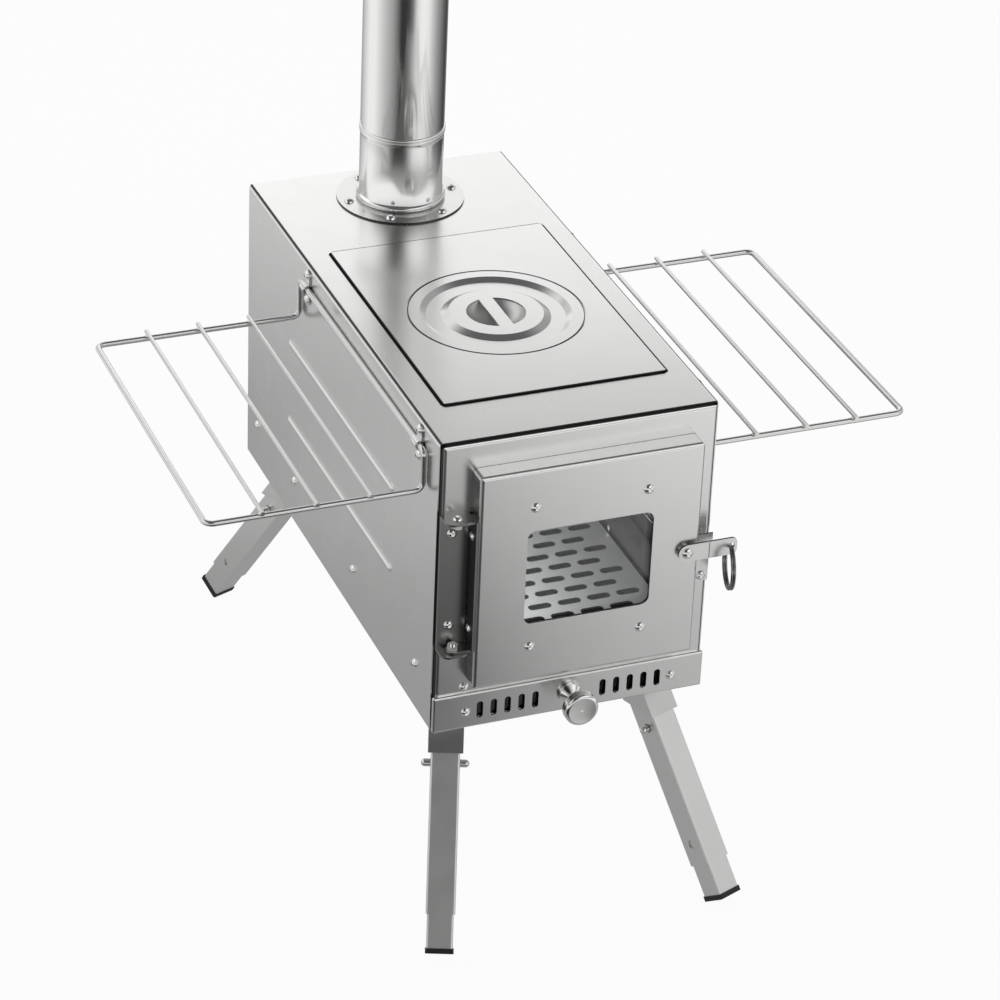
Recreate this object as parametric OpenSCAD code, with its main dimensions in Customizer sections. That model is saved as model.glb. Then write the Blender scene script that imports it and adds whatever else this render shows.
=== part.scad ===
// Tent wood stove: a firebox of folded stainless sheet on four folding legs, with a hinged
// glass door, an air damper, a lift-out hatch and hob lid, a flue and two folding wire racks.
// Lengths are in millimetres. X runs to the right, Y to the back and Z up.
// The origin is on the ground, under the middle of the firebox.
// Heights named _z are measured from the underside of the firebox unless they say otherwise.

/* [Firebox] */
// Width of the firebox across its side walls
body_w = 196; // [190:1:210]
// Depth of the firebox from its front face to its rear face
body_d = 400; // [384:2:440]
// Height of the firebox from its underside to its top
body_h = 220; // [216:1:240]
// Thickness of the folded sheet of the shell, the frames and the pan
sheet = 1.2; // [1:0.1:1.4]
// Outer radius of the folded edges
bend_r = 3; // [2.6:0.1:3.6]
// Depth of the lips that the front frame is folded back with
lip_d = 14; // [12:1:16]
// Depth of the lips that the rear panel is folded forward with
rear_lip_d = 10; // [8:1:11]
// Height of the side flanges of the bottom pan
pan_h = 60; // [40:1:66]

/* [Door] */
// Width of the door
door_w = 158; // [154:1:160]
// Height of the door
door_h = 162; // [158:1:166]
// Depth of the door from its front face to its rear edge
door_d = 14; // [12:0.5:14]
// Thickness of the door's sheet
door_sheet = 1.5; // [1.2:0.1:1.8]
// Width of the window
window_w = 89.5; // [76:0.5:92]
// Height of the window
window_h = 71.5; // [60:0.5:76]
// Thickness of the glass
glass_t = 4; // [3:0.5:4.5]
// Width of the opening in the front frame behind the door
mouth_w = 134; // [120:1:136]
// Height of the opening in the front frame behind the door
mouth_h = 140; // [124:1:142]

/* [Latch] */
// Length of the latch bar from its pivot to its free end
latch_l = 36; // [34.5:0.5:40]
// Height of the latch bar
latch_w = 12.8; // [11:0.2:13]
// Radius of the pull ring, to the middle of its wire
ring_r = 15.5; // [13:0.5:17]

/* [Air damper] */
// Height of the vent panel
vent_h = 27.5; // [26:0.5:28]
// Number of air slots on each side of the knob
vent_slots = 5; // [3:1:5]
// Width of an air slot, round ends
slot_w = 4.6; // [3:0.2:4.6]
// Height of an air slot
slot_h = 13; // [10:0.5:13]
// Distance from one air slot to the next
slot_pitch = 10; // [9.6:0.2:10]
// Diameter of the damper knob
knob_dia = 24; // [18:1:26]

/* [Hatch and hob lid] */
// Width of the hatch opening in the top
hatch_w = 161.5; // [150:0.5:164]
// Length of the hatch opening, front to back
hatch_l = 230.5; // [200:0.5:236]
// Thickness of the hatch plate
hatch_t = 2.5; // [2:0.1:3]
// Radius of the round hob lid
lid_r = 60.6; // [54:0.1:63]
// Thickness of the lid's sheet, which is the depth of its rebate
lid_sheet = 1.3; // [1:0.1:1.4]

/* [Flue] */
// Outer diameter of the flue pipe
pipe_dia = 60; // [57:1:63]
// Wall of the flue pipe and its collar
pipe_wall = 0.8; // [0.6:0.1:1]
// Height of the pipe section above the collar
pipe_h = 300; // [200:10:400]
// Height of the collar above the top
collar_h = 58; // [50:1:70]
// Diameter of the flange under the collar
flange_dia = 92; // [86:1:94]

/* [Side racks] */
// Diameter of the rack's frame wire
rack_wire = 4; // [3.6:0.1:4.4]
// Diameter of the wires across the shelf
bar_wire = 3; // [2.5:0.1:3.5]
// Length of the rack along the firebox
rack_l = 251; // [220:1:262]
// Distance that the shelf reaches out from its hinge rod
rack_reach = 147.5; // [110:0.5:160]
// Distance from the hinge rod down to the shelf
rack_drop = 28.9; // [24:0.5:34]

/* [Legs] */
// Width of the square outer tube
tube_w = 20; // [18.5:0.5:20]
// Wall of the outer tube
tube_wall = 0.8; // [0.7:0.1:1]
// Length from the top of the leg's axis down to the end of the outer tube
tube_end = 154.5; // [148:0.5:156]
// Length from the top of the leg's axis down to the end of the inner tube
inner_end = 177.5; // [174:0.5:181]
// Lean of the legs away from upright
leg_tilt = 35; // [30:1:38]
// Angle of the legs' lean away from the front-to-back direction, seen from above
leg_splay = 21; // [17:1:24]

/* [Hidden] */
$fn = 64;

steel = [0.76, 0.77, 0.78];
bright = [0.86, 0.87, 0.88];
dark_steel = [0.45, 0.45, 0.46];
black = [0.08, 0.08, 0.08];
clear_glass = [0.2, 0.22, 0.22];
felt = [0.7, 0.68, 0.62];

// Overrun of every cut
over = 1;
// Gap between sheets that are welded or screwed together
snug = 0.15;
// Gap between pieces that move past each other
free_gap = 0.3;
// Radial gap of a running fit
fit = 0.05;

front_y = -body_d / 2;
inner_w = body_w - 2 * sheet;
inset_w = inner_w - 2 * snug;
shell_d = body_d - 2 * bend_r;

// Side ribs: heights and half length as shares of the firebox, middle, width and rise
rib_z_shares = [0.351, 0.636];
rib_y_share = 0.264;
rib_y = -6.5;
rib_w = 7;
rib_rise = 1.6;
rib_r = (rib_w * rib_w / 4 + rib_rise * rib_rise) / (2 * rib_rise);

// Button head screws of the firebox
head_r = 3.6;
head_h = 2.3;
shank_r = 1.9;
shank_l = 4;
hole_r = shank_r + fit;
recess_share = 0.38;
recess_depth_share = 0.55;
side_screw_shares = [0.434, 0.219, -0.1, -0.414];
side_screw_z = 33;
side_shank_l = 3.6;

// Front frame: its corners, opening corners, air window and the guide over the damper plate
frame_corner_r = 4;
corner_r = 6;
door_x = 4;
door_z = 118.5;
air_z = 12.5;
air_window_w = 140;
air_window_h = 14;
frame_screw_x = -75.6;
frame_screw_z = 31.5;

// Vent panel: it stands proud of the front frame and hangs just below it
vent_d = 2.5;
vent_drop = 0.5;
vent_edge_r = 1.5;
vent_screw_x = 74.5;
slot_start_x = 24.4;
slot_ease = 0.6;

// Damper plate and its travel
damper_t = 1.2;
damper_z = 4;
damper_h = 17;
damper_travel = 5;
damper_left = 71.5;
damper_right = 67.5;
guide_t = 1.2;
guide_hook = 4;

// Damper knob, a turned piece: distances run out from the vent panel
knob_x = 0;
knob_z = 13.5;
knob_shank_r = 2.5;
knob_foot_r = 8;
knob_foot_h = 2.4;
knob_neck_r = 4.6;
knob_neck_h = 15.5;
knob_head_h = 9;
knob_edge_r = 2.4;
knob_nut_r = 4;
knob_nut_h = 2.4;
knob_dish_r = 60;
knob_dish_depth = 0.8;

// Hinge: the pivot is in front of the front face and left of the door
pivot_x = -87.5;
pivot_out = 7;
hinge_t = 1.5;
hinge_z = 65;
hinge_h = 103;
bracket_left = 9.5;
bracket_right = 10;
bracket_out = 14.5;
bracket_r = 6;
ear_gap = 0.2;
ear_r = 5.1;
pin_r = 2;
pin_head_r = 3.4;
pin_head_h = 2;
nut_r = 4;
nut_h = 3;
bolt_over = 1.2;
leaf_front = 13.5;
leaf_back = 1.5;
hinge_screw_x = -88.8;
hinge_screw_high_in = 14;
hinge_screw_low_in = 18.8;
rivet_r = 3;
rivet_h = 1.6;
rivet_shank_r = 1.6;
rivet_out = 5.5;
rivet_dz = 35.5;

// Door: gap to the frame, edges, window and its parts
door_gap = 0.3;
door_edge_r = 2.5;
door_corner_r = 3;
gasket_t = 0.8;
gasket_w = 6;
glass_rim = 6;
glass_frame_t = 1.2;
glass_frame_w = 104;
glass_frame_h = 122;
glass_frame_clear = 3;
window_z = 117.8;
window_screw_x = 39.8;
window_screw_z = 53.5;
spacer_r = 3.4;
window_head_r = 3.7;
window_shank_r = 1.5;
small_nut_r = 3.2;
small_nut_h = 2;
door_front = door_gap + door_d;
door_inside = door_front - door_sheet;
glass_back = door_inside - gasket_t - glass_t;

// Latch: a bar on a shoulder screw, standing off the door
latch_x = 73.5;
latch_z = 118.3;
latch_t = 1.5;
latch_off = 2;
latch_slack = 0.1;
latch_shank_r = 2.5;
latch_spacer_r = 4.5;
latch_head_r = 4;
latch_head_h = 2.2;
latch_r = 4;
latch_hole_x = 31.6;
latch_hole_r = 2.45;
latch_hole_dz = 0.3;
latch_crease_x = 15.3;
crease_w = 1.2;
crease_depth = 0.5;
latch_back = door_front + latch_off;
latch_front = latch_back + latch_t;
ring_wire_r = 0.9;
ring_wire_off = 0.85;
ring_hang = 0.8;
ring_twist = 13.7;

// Keeper: a plate screwed to the frame beside the door, stepped out behind the latch bar
keeper_x = 92;
keeper_w = 10.4;
keeper_t = 1.2;
keeper_z = 84;
keeper_foot_h = 24;
keeper_step = 4;
keeper_lip_h = 11;
keeper_screw_dz = 4.3;

// Hatch: place and corners of its opening, seat, clearances and the lid's place in it
hatch_x = 1.1;
hatch_y = -37.5;
hatch_corner_r = 4;
lid_dy = -3.2;
hatch_play = 1.5;
seat_t = 1.5;
seat_in = 7;
seat_out = 6;
lid_play = 0.9;
hob_lip = 4.3;

// Hob lid: pressed rings as shares of its radius, its dip and its two half-moon holes
lid_shares = [1, 0.858, 0.79, 0.622, 0.539];
lid_dip = 2.6;
moon_r = 20.5;
moon_bar = 10;
cup_rim_r = 25;
cup_r = 21.5;
cup_depth = 12;
cup_t = 1;

// Flue: place, flange, beads and the necked end of the pipe
flue_y = 148;
flange_t = 1.2;
flange_screw_r = 39;
flange_screws_n = 6;
collar_sink = 10;
bead_r = 2.2;
rim_bead_r = 0.9;
neck_gap = 0.3;
neck_l = 40;
shoulder_l = 3;
pipe_r = pipe_dia / 2;

// Grate: a slotted plate on two down-turned sides
grate_w = 187.4;
grate_z = 29.5;
grate_t = 1;
grate_front_gap = 4;
grate_back_gap = 3;
grate_slot_l = 17;
grate_slot_w = 6.6;
grate_pitch = 22;
grate_row = 15;
grate_margin = 9;
stagger_share = 0.5;

// Racks: place of the hinge rod, bends and wires
rack_down = 16.6;
rack_y = -50.4;
rack_bend_r = 3.5;
shelf_bend_r = 6;
bar_reach_shares = [0.246, 0.497, 0.749];
bar_over = 4;
weld_gap = 0.05;
rod_gap = 0.3;

// Clips over the hinge rods
clip_in = 12.2;
clip_w = 8.5;
clip_l = 28;
clip_t = 1.2;
clip_screw_dz = 9.6;
rod_fit = 0.1;

// Legs: corner places, pivot, tubes, buttons and brackets
leg_inset_x = 30;
leg_inset_y = 48.5;
leg_pivot = 18;
tube_gap = 0.2;
tube_corner_r = 1.4;
inner_wall = 0.9;
inner_top = 44;
foot_t = 3.6;
foot_over = 0.7;
foot_plug_l = 10;
foot_plug_gap = 0.2;
button_l = 52.3;
button_r = 2.7;
button_reach = 16.5;
button_hole_r = 3.2;
lower_hole_l = 139;
spring_t = 0.6;
spring_w = 5;
spring_l = 24;
spring_half = 7.6;
bracket_t = 1.6;
bracket_gap = 0.4;
bracket_drop = 30.6;
bracket_back = 26;
bracket_corner_r = 3;
leg_pin_r = 3;
leg_pin_head_r = 4.5;
leg_pin_head_h = 1.2;
leg_pin_fit = 0.1;
leg_rivet_r = 1.5;
leg_rivet_head_r = 2.6;
leg_rivet_head_h = 1;
leg_rivet_x = 6;
leg_rivet_in = 5;

frame_h = body_h - sheet - snug;
pan_y0 = front_y + lip_d + free_gap;
pan_d = body_d - lip_d - rear_lip_d - 2 * free_gap;
hinge_screw_zs = [hinge_z + hinge_screw_low_in, hinge_z + hinge_h - hinge_screw_high_in];
keeper_screw_z = keeper_z + keeper_screw_dz;
lid_y = hatch_y + lid_dy;
hatch_y0 = hatch_y - hatch_l / 2;
hatch_y1 = hatch_y + hatch_l / 2;
plate_w = hatch_w - 2 * hatch_play;
plate_l = hatch_l - 2 * hatch_play;
plate_z = body_h - sheet;
plate_top = plate_z + hatch_t;
pivot_y = front_y - pivot_out;
leaf_z = hinge_z + hinge_t + ear_gap;
leaf_h = hinge_h - 2 * hinge_t - 2 * ear_gap;
door_left = door_x - door_w / 2;
rod_x = body_w / 2 + rod_gap + rack_wire / 2;
rod_z = body_h - rack_down;
inner_w_tube = tube_w - 2 * tube_wall - 2 * tube_gap;
foot_w = inner_w_tube + 2 * foot_over;
foot_end = inner_end + foot_t;
leg_x = body_w / 2 - leg_inset_x;
leg_y = body_d / 2 - leg_inset_y;
channel_half = tube_w / 2 + bracket_gap + bracket_t;
channel_front = channel_half / cos(leg_tilt);
corners = [[-1, -1], [1, -1], [-1, 1], [1, 1]];

// Height of the firebox's underside above the ground, on its leaning legs
body_z = foot_end * cos(leg_tilt) + foot_w / 2 * sin(leg_tilt);

// Lifts the firebox's own frame to its height above the ground
module raised() {
    translate([0, 0, body_z])
        children();
}

// Stands an outline up in X and Z, with its front at y and its back at y + t
module stand(y, t) {
    translate([0, y + t, 0])
        rotate([90, 0, 0])
            linear_extrude(t)
                children();
}

// Runs an outline drawn in Y and Z along X, about the middle
module along_x(length) {
    rotate([90, 0, 90])
        linear_extrude(length, center = true)
            children();
}

// Round bar along X, about the middle
module bar_x(r, length) {
    rotate([0, 90, 0])
        cylinder(r = r, h = length, center = true);
}

// Round bar along Y, about the middle
module bar_y(r, length) {
    rotate([90, 0, 0])
        cylinder(r = r, h = length, center = true);
}

// Turns a piece that points up so that it points out of the front face
module to_front() {
    rotate([90, 0, 0])
        children();
}

// Turns a piece that points up so that it points out of the left (-1) or right (1) side
module to_side(side) {
    rotate([0, side * 90, 0])
        children();
}

// Rectangle with round corners, about the middle
module round_rect(w, h, r) {
    square([w - 2 * r, h], center = true);
    square([w, h - 2 * r], center = true);
    for (sx = [-1, 1], sy = [-1, 1])
        translate([sx * (w / 2 - r), sy * (h / 2 - r)])
            circle(r = r);
}

// Upright slot with round ends, about the middle
module slot_shape(w, h) {
    square([w, h - w], center = true);
    for (side = [-1, 1])
        translate([0, side * (h - w) / 2])
            circle(d = w);
}

// Rectangle from y = 0 back to y = d, with its two front corners rounded
module rounded_front(w, d, r) {
    translate([-w / 2, r])
        square([w, d - r]);
    translate([r - w / 2, 0])
        square([w - 2 * r, d]);
    for (side = [-1, 1])
        translate([side * (w / 2 - r), r])
            circle(r = r);
}

// Block behind y = 0 with its front edges and its four corners rounded
module pan_block(w, h, d, edge_r, outline_r) {
    intersection() {
        linear_extrude(h + over, center = true)
            rounded_front(w, d, edge_r);
        rotate([0, -90, 0])
            linear_extrude(w + over, center = true)
                rounded_front(h, d, edge_r);
        stand(0, d)
            round_rect(w, h, outline_r);
    }
}

// Folded sheet pan that is open at the back
module pan(w, h, d, t, edge_r, outline_r) {
    difference() {
        pan_block(w, h, d, edge_r, outline_r);
        translate([0, t, 0])
            pan_block(w - 2 * t, h - 2 * t, d, edge_r - t, outline_r - t);
    }
}

// Dome with a flat base at z = 0
module dome(r, h) {
    dome_r = (r * r + h * h) / (2 * h);
    intersection() {
        translate([0, 0, h - dome_r])
            sphere(r = dome_r);
        cylinder(r = r + over, h = h + over);
    }
}

// Button head screw with a six-sided recess, head above z = 0 and shank below
module button_screw(r, h, shank, length) {
    difference() {
        union() {
            dome(r, h);
            translate([0, 0, -length])
                cylinder(r = shank, h = length + h / 4);
        }
        translate([0, 0, h * recess_depth_share])
            cylinder(r = r * recess_share, h = h, $fn = 6);
    }
}

// Capsule along Y, about the middle
module capsule_y(r, length) {
    bar_y(r, length);
    for (side = [-1, 1])
        translate([0, side * length / 2, 0])
            sphere(r = r);
}

// Outline of the folded shell, seen from the front
module shell_outline(w, h, r) {
    translate([-w / 2, 0])
        square([w, h - r]);
    translate([r - w / 2, 0])
        square([w - 2 * r, h]);
    for (side = [-1, 1])
        translate([side * (w / 2 - r), h - r])
            circle(r = r);
}

// Pressed ribs of both side walls, out to radius r of the press
module ribs(r) {
    for (side = [-1, 1], share = rib_z_shares)
        translate([side * (body_w / 2 + rib_rise - rib_r), rib_y, body_h * share])
            capsule_y(r, 2 * body_d * rib_y_share);
}

// Places children at the side screws, pointing out of the side walls
module at_side_screws() {
    for (side = [-1, 1], share = side_screw_shares)
        translate([side * body_w / 2, body_d * share, side_screw_z])
            to_side(side)
                children();
}

// Places children at the clip screws, pointing out of the side walls
module at_clip_screws() {
    for (side = [-1, 1], dz = [-clip_screw_dz, clip_screw_dz])
        translate([side * body_w / 2, 0, body_h - rack_down + dz])
            at_clip_rows()
                to_side(side)
                    children();
}

// Repeats children at the two clips of a rack
module at_clip_rows() {
    for (end = [-1, 1])
        translate([0, rack_y + end * (rack_l / 2 - clip_in), 0])
            children();
}

// Places children at the flange screws, pointing up
module at_flange_screws() {
    for (k = [0 : flange_screws_n - 1])
        translate([0, flue_y, body_h])
            rotate([0, 0, k * 360 / flange_screws_n])
                translate([flange_screw_r, 0, 0])
                    children();
}

// Rectangle of the top sheet between the folds, from x0 to x1 and from y0 to y1
module top_strip(x0, x1, y0, y1) {
    color(steel)
        raised()
            translate([x0, y0, body_h - sheet])
                cube([x1 - x0, y1 - y0, sheet]);
}

// Top sheet in front of the hatch opening
module top_front() {
    top_strip(bend_r - body_w / 2, body_w / 2 - bend_r, -shell_d / 2, hatch_y0);
}

// Top sheet beside the hatch opening, on the left
module top_left() {
    top_strip(bend_r - body_w / 2, hatch_x - hatch_w / 2, hatch_y0, hatch_y1);
}

// Top sheet beside the hatch opening, on the right
module top_right() {
    top_strip(hatch_x + hatch_w / 2, body_w / 2 - bend_r, hatch_y0, hatch_y1);
}

// Top sheet behind the hatch opening, with the flue hole
module top_rear() {
    difference() {
        top_strip(bend_r - body_w / 2, body_w / 2 - bend_r, hatch_y1, shell_d / 2);
        raised() {
            translate([0, flue_y, body_h - sheet - over])
                cylinder(r = pipe_r + free_gap, h = sheet + 2 * over);
            at_flange_screws()
                cylinder(r = hole_r, h = 2 * (sheet + over), center = true);
        }
    }
}

// Round corners of the hatch opening
module top_corners() {
    color(steel)
        raised()
            translate([hatch_x, hatch_y, body_h - sheet])
                for (corner = corners)
                    flip(corner[0], corner[1])
                        translate([hatch_w / 2 - hatch_corner_r, hatch_l / 2 - hatch_corner_r, 0])
                            linear_extrude(sheet)
                                difference() {
                                    square([hatch_corner_r, hatch_corner_r]);
                                    circle(r = hatch_corner_r);
                                }
}

// Side wall of the folded shell with its fold and its two pressed ribs
module side_wall(side) {
    color(steel)
        raised()
            flip(side, 1)
                intersection() {
                    difference() {
                        union() {
                            stand(-shell_d / 2, shell_d)
                                shell_outline(body_w, body_h, bend_r);
                            ribs(rib_r);
                        }
                        stand(-shell_d / 2 - over, shell_d + 2 * over)
                            translate([0, -over])
                                shell_outline(inner_w, body_h - sheet + over, bend_r - sheet);
                        ribs(rib_r - sheet);
                        at_side_screws()
                            cylinder(r = hole_r, h = 2 * (sheet + over), center = true);
                        at_clip_screws()
                            cylinder(r = hole_r, h = 2 * (sheet + over), center = true);
                    }
                    translate([body_w / 2 - bend_r, -shell_d / 2 - over, -over])
                        cube([bend_r + rib_rise + over, shell_d + 2 * over, body_h + 2 * over]);
                }
}

// Front frame with the door opening, the air window and the damper's guide
module front_frame() {
    color(bright)
        raised() {
            difference() {
                translate([0, front_y, frame_h / 2])
                    pan(inset_w, frame_h, lip_d, sheet, bend_r, frame_corner_r);
                stand(front_y - over, lip_d) {
                    translate([door_x, door_z])
                        round_rect(mouth_w, mouth_h, corner_r);
                    translate([0, air_z])
                        square([air_window_w, air_window_h], center = true);
                }
                front_screw_places()
                    cylinder(r = hole_r, h = 2 * (sheet + over), center = true);
            }
            damper_guide();
        }
}

// Folded rail over the damper plate, welded behind the front frame
module damper_guide() {
    rail_z = damper_z + damper_h + ear_gap;
    rail_d = ear_gap + damper_t + ear_gap + guide_t;
    along_x(damper_left + damper_right + 2 * damper_travel)
        translate([front_y + sheet, rail_z]) {
            square([rail_d, guide_t]);
            translate([rail_d - guide_t, -guide_hook])
                square([guide_t, guide_hook + guide_t]);
        }
}

// Closed rear panel
module rear_panel() {
    color(steel)
        raised()
            mirror([0, 1, 0])
                translate([0, front_y, frame_h / 2])
                    pan(inset_w, frame_h, rear_lip_d, sheet, bend_r, frame_corner_r);
}

// Bottom pan: the floor and two side flanges inside the shell
module bottom_pan() {
    color(steel)
        raised()
            difference() {
                stand(pan_y0, pan_d)
                    difference() {
                        translate([-inset_w / 2, 0])
                            square([inset_w, pan_h]);
                        translate([sheet - inset_w / 2, sheet])
                            square([inset_w - 2 * sheet, pan_h]);
                    }
                at_side_screws()
                    cylinder(r = hole_r, h = 2 * (side_shank_l + over), center = true);
                at_leg_rivets()
                    cylinder(r = leg_rivet_r + fit, h = 2 * (sheet + over), center = true);
            }
}

// Centres of the air slots on both sides of the knob
function slot_xs() = [for (side = [-1, 1], k = [0 : vent_slots - 1])
    side * (slot_start_x + k * slot_pitch)];

// Outlines of the air slots, made wider and taller by ease
module air_slots(ease) {
    for (x = slot_xs())
        translate([x, air_z])
            slot_shape(slot_w + ease, slot_h + ease);
}

// Shallow slotted panel over the air window
module vent_panel() {
    color(bright)
        raised()
            difference() {
                translate([0, front_y - vent_d, vent_h / 2 - vent_drop])
                    pan(body_w, vent_h, vent_d, sheet, vent_edge_r, vent_edge_r);
                stand(front_y - vent_d - over, vent_d + over + sheet) {
                    air_slots(0);
                    translate([knob_x + damper_travel / 2, knob_z])
                        rotate(90)
                            slot_shape(2 * (knob_shank_r + free_gap),
                                2 * (knob_shank_r + free_gap) + damper_travel);
                    for (side = [-1, 1])
                        translate([side * vent_screw_x, air_z])
                            circle(r = hole_r);
                }
            }
}

// Plate behind the front frame that opens and shuts the air slots
module damper_plate() {
    color(dark_steel)
        raised()
            stand(front_y + sheet + ear_gap, damper_t)
                difference() {
                    translate([-damper_left, damper_z])
                        square([damper_left + damper_right, damper_h]);
                    air_slots(slot_ease);
                    translate([knob_x, knob_z])
                        circle(r = knob_shank_r + fit);
                }
}

// Half section of the knob: radius in X, distance out from the vent panel in Y
module knob_outline() {
    head_r = knob_dia / 2;
    head_z = knob_neck_h;
    top_z = head_z + knob_head_h;
    difference() {
        union() {
            translate([0, free_gap])
                square([knob_foot_r, knob_foot_h]);
            polygon([
                [0, knob_foot_h],
                [knob_foot_r, knob_foot_h],
                [knob_neck_r, knob_foot_h + knob_foot_r - knob_neck_r],
                [knob_neck_r, head_z],
                [0, head_z],
            ]);
            translate([0, head_z])
                square([head_r - knob_edge_r, knob_head_h]);
            translate([0, head_z + knob_edge_r])
                square([head_r, knob_head_h - 2 * knob_edge_r]);
            for (z = [head_z + knob_edge_r, top_z - knob_edge_r])
                translate([head_r - knob_edge_r, z])
                    circle(r = knob_edge_r);
        }
        translate([0, top_z + knob_dish_r - knob_dish_depth])
            circle(r = knob_dish_r);
        translate([-2 * knob_foot_r, -over])
            square([2 * knob_foot_r, top_z + 2 * over]);
    }
}

// Turned knob with its shank through the damper plate and a nut behind it
module damper_knob() {
    shank_end = vent_d + sheet + ear_gap + damper_t + knob_nut_h + latch_slack;
    color(bright)
        raised()
            translate([knob_x, front_y - vent_d, knob_z])
                to_front() {
                    rotate_extrude()
                        knob_outline();
                    translate([0, 0, -shank_end])
                        cylinder(r = knob_shank_r, h = shank_end + knob_foot_h);
                    translate([0, 0, -shank_end])
                        cylinder(r = knob_nut_r, h = knob_nut_h, $fn = 6);
                }
}

// Screws of the firebox's side walls, through the shell and the pan's flanges
module body_screws() {
    color(bright)
        raised()
            at_side_screws()
                button_screw(head_r, head_h, shank_r, side_shank_l);
}

// Places of the screws in the front face, pointing out of it
module front_screw_places() {
    translate([0, front_y, 0]) {
        for (side = [-1, 1])
            translate([side * vent_screw_x, 0, air_z])
                to_front()
                    children();
        for (z = hinge_screw_zs)
            translate([hinge_screw_x, 0, z])
                to_front()
                    children();
        translate([frame_screw_x, 0, frame_screw_z])
            to_front()
                children();
        translate([keeper_x, 0, keeper_screw_z])
            to_front()
                children();
    }
}

// Screw in the front face whose head sits on a plate at height seat above it
module front_screw(seat) {
    translate([0, 0, seat])
        button_screw(head_r, head_h, shank_r, shank_l - over + seat);
}

// Screws of the vent panel, the hinge bracket, the keeper and the frame itself
module front_screws() {
    color(bright)
        raised()
            translate([0, front_y, 0]) {
                for (side = [-1, 1])
                    translate([side * vent_screw_x, 0, air_z])
                        to_front()
                            front_screw(vent_d);
                for (z = hinge_screw_zs)
                    translate([hinge_screw_x, 0, z])
                        to_front()
                            front_screw(hinge_t);
                translate([frame_screw_x, 0, frame_screw_z])
                    to_front()
                        front_screw(0);
                translate([keeper_x, 0, keeper_screw_z])
                    to_front()
                        front_screw(keeper_t);
            }
}

// Ring under the top sheet that the hatch plate rests on
module hatch_seat() {
    color(dark_steel)
        raised()
            translate([hatch_x, hatch_y, body_h - sheet - seat_t])
                linear_extrude(seat_t)
                    difference() {
                        round_rect(hatch_w + 2 * seat_out, hatch_l + 2 * seat_out, corner_r);
                        round_rect(hatch_w - 2 * seat_in, hatch_l - 2 * seat_in, corner_r);
                    }
}

// Lift-out plate with the rebated hob hole
module hatch_plate() {
    color(bright)
        raised()
            difference() {
                translate([hatch_x, hatch_y, plate_z])
                    linear_extrude(hatch_t)
                        round_rect(plate_w, plate_l, hatch_corner_r - hatch_play);
                translate([hatch_x, lid_y, plate_z - over])
                    cylinder(r = lid_r - hob_lip, h = hatch_t + 2 * over);
                translate([hatch_x, lid_y, plate_top - lid_sheet])
                    cylinder(r = lid_r + lid_play, h = lid_sheet + over);
            }
}

// Upper line of the pressed lid, from the rim to the middle
function lid_line(z) = [
    [lid_r * lid_shares[0], z],
    [lid_r * lid_shares[1], z],
    [lid_r * lid_shares[2], z - lid_dip],
    [lid_r * lid_shares[3], z - lid_dip],
    [lid_r * lid_shares[4], z],
    [0, z],
];

// Same line from the middle back to the rim
function back_line(line) = [for (k = [len(line) - 1 : -1 : 0]) line[k]];

// Pressed hob lid with two half-moon holes beside a bar
module hob_lid() {
    color(bright)
        raised()
            translate([hatch_x, lid_y, plate_top - lid_sheet])
                difference() {
                    rotate_extrude()
                        polygon(concat(lid_line(lid_sheet), back_line(lid_line(0))));
                    difference() {
                        translate([0, 0, -over])
                            cylinder(r = moon_r, h = lid_sheet + 2 * over);
                        cube([moon_bar, 2 * (moon_r + over), 4 * (lid_sheet + over)],
                            center = true);
                    }
                }
}

// Shallow cup welded under the lid's middle, for the lifting tool
module lid_cup() {
    bowl_r = (cup_r * cup_r + cup_depth * cup_depth) / (2 * cup_depth);
    color(dark_steel)
        raised()
            translate([hatch_x, lid_y, plate_top - lid_sheet])
                intersection() {
                    difference() {
                        union() {
                            translate([0, 0, -cup_t])
                                cylinder(r = cup_rim_r, h = cup_t);
                            translate([0, 0, bowl_r - cup_depth])
                                sphere(r = bowl_r);
                        }
                        translate([0, 0, bowl_r - cup_depth])
                            sphere(r = bowl_r - cup_t);
                    }
                    translate([0, 0, -cup_depth - over])
                        cylinder(r = cup_rim_r, h = cup_depth + over);
                }
}

// Round flange on the top, under the collar's bead
module flue_flange() {
    color(steel)
        raised()
            difference() {
                translate([0, flue_y, body_h])
                    cylinder(d = flange_dia, h = flange_t);
                translate([0, flue_y, body_h - over])
                    cylinder(r = pipe_r + fit, h = flange_t + 2 * over);
                at_flange_screws()
                    cylinder(r = hole_r, h = 2 * (flange_t + over), center = true);
            }
}

// Collar that carries the pipe, with a rolled bead on the flange and one at its rim
module flue_collar() {
    color(steel)
        raised()
            translate([0, flue_y, body_h])
                rotate_extrude()
                    difference() {
                        union() {
                            translate([pipe_r - pipe_wall, -collar_sink])
                                square([pipe_wall, collar_sink + collar_h]);
                            translate([pipe_r, flange_t + bead_r])
                                circle(r = bead_r);
                            translate([pipe_r, collar_h - rim_bead_r])
                                circle(r = rim_bead_r);
                        }
                        translate([0, -collar_sink - over])
                            square([pipe_r - pipe_wall, collar_sink + collar_h + 2 * over]);
                    }
}

// Screws of the flange
module flange_screws() {
    color(bright)
        raised()
            at_flange_screws()
                translate([0, 0, flange_t])
                    button_screw(head_r, head_h, shank_r, shank_l);
}

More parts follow.
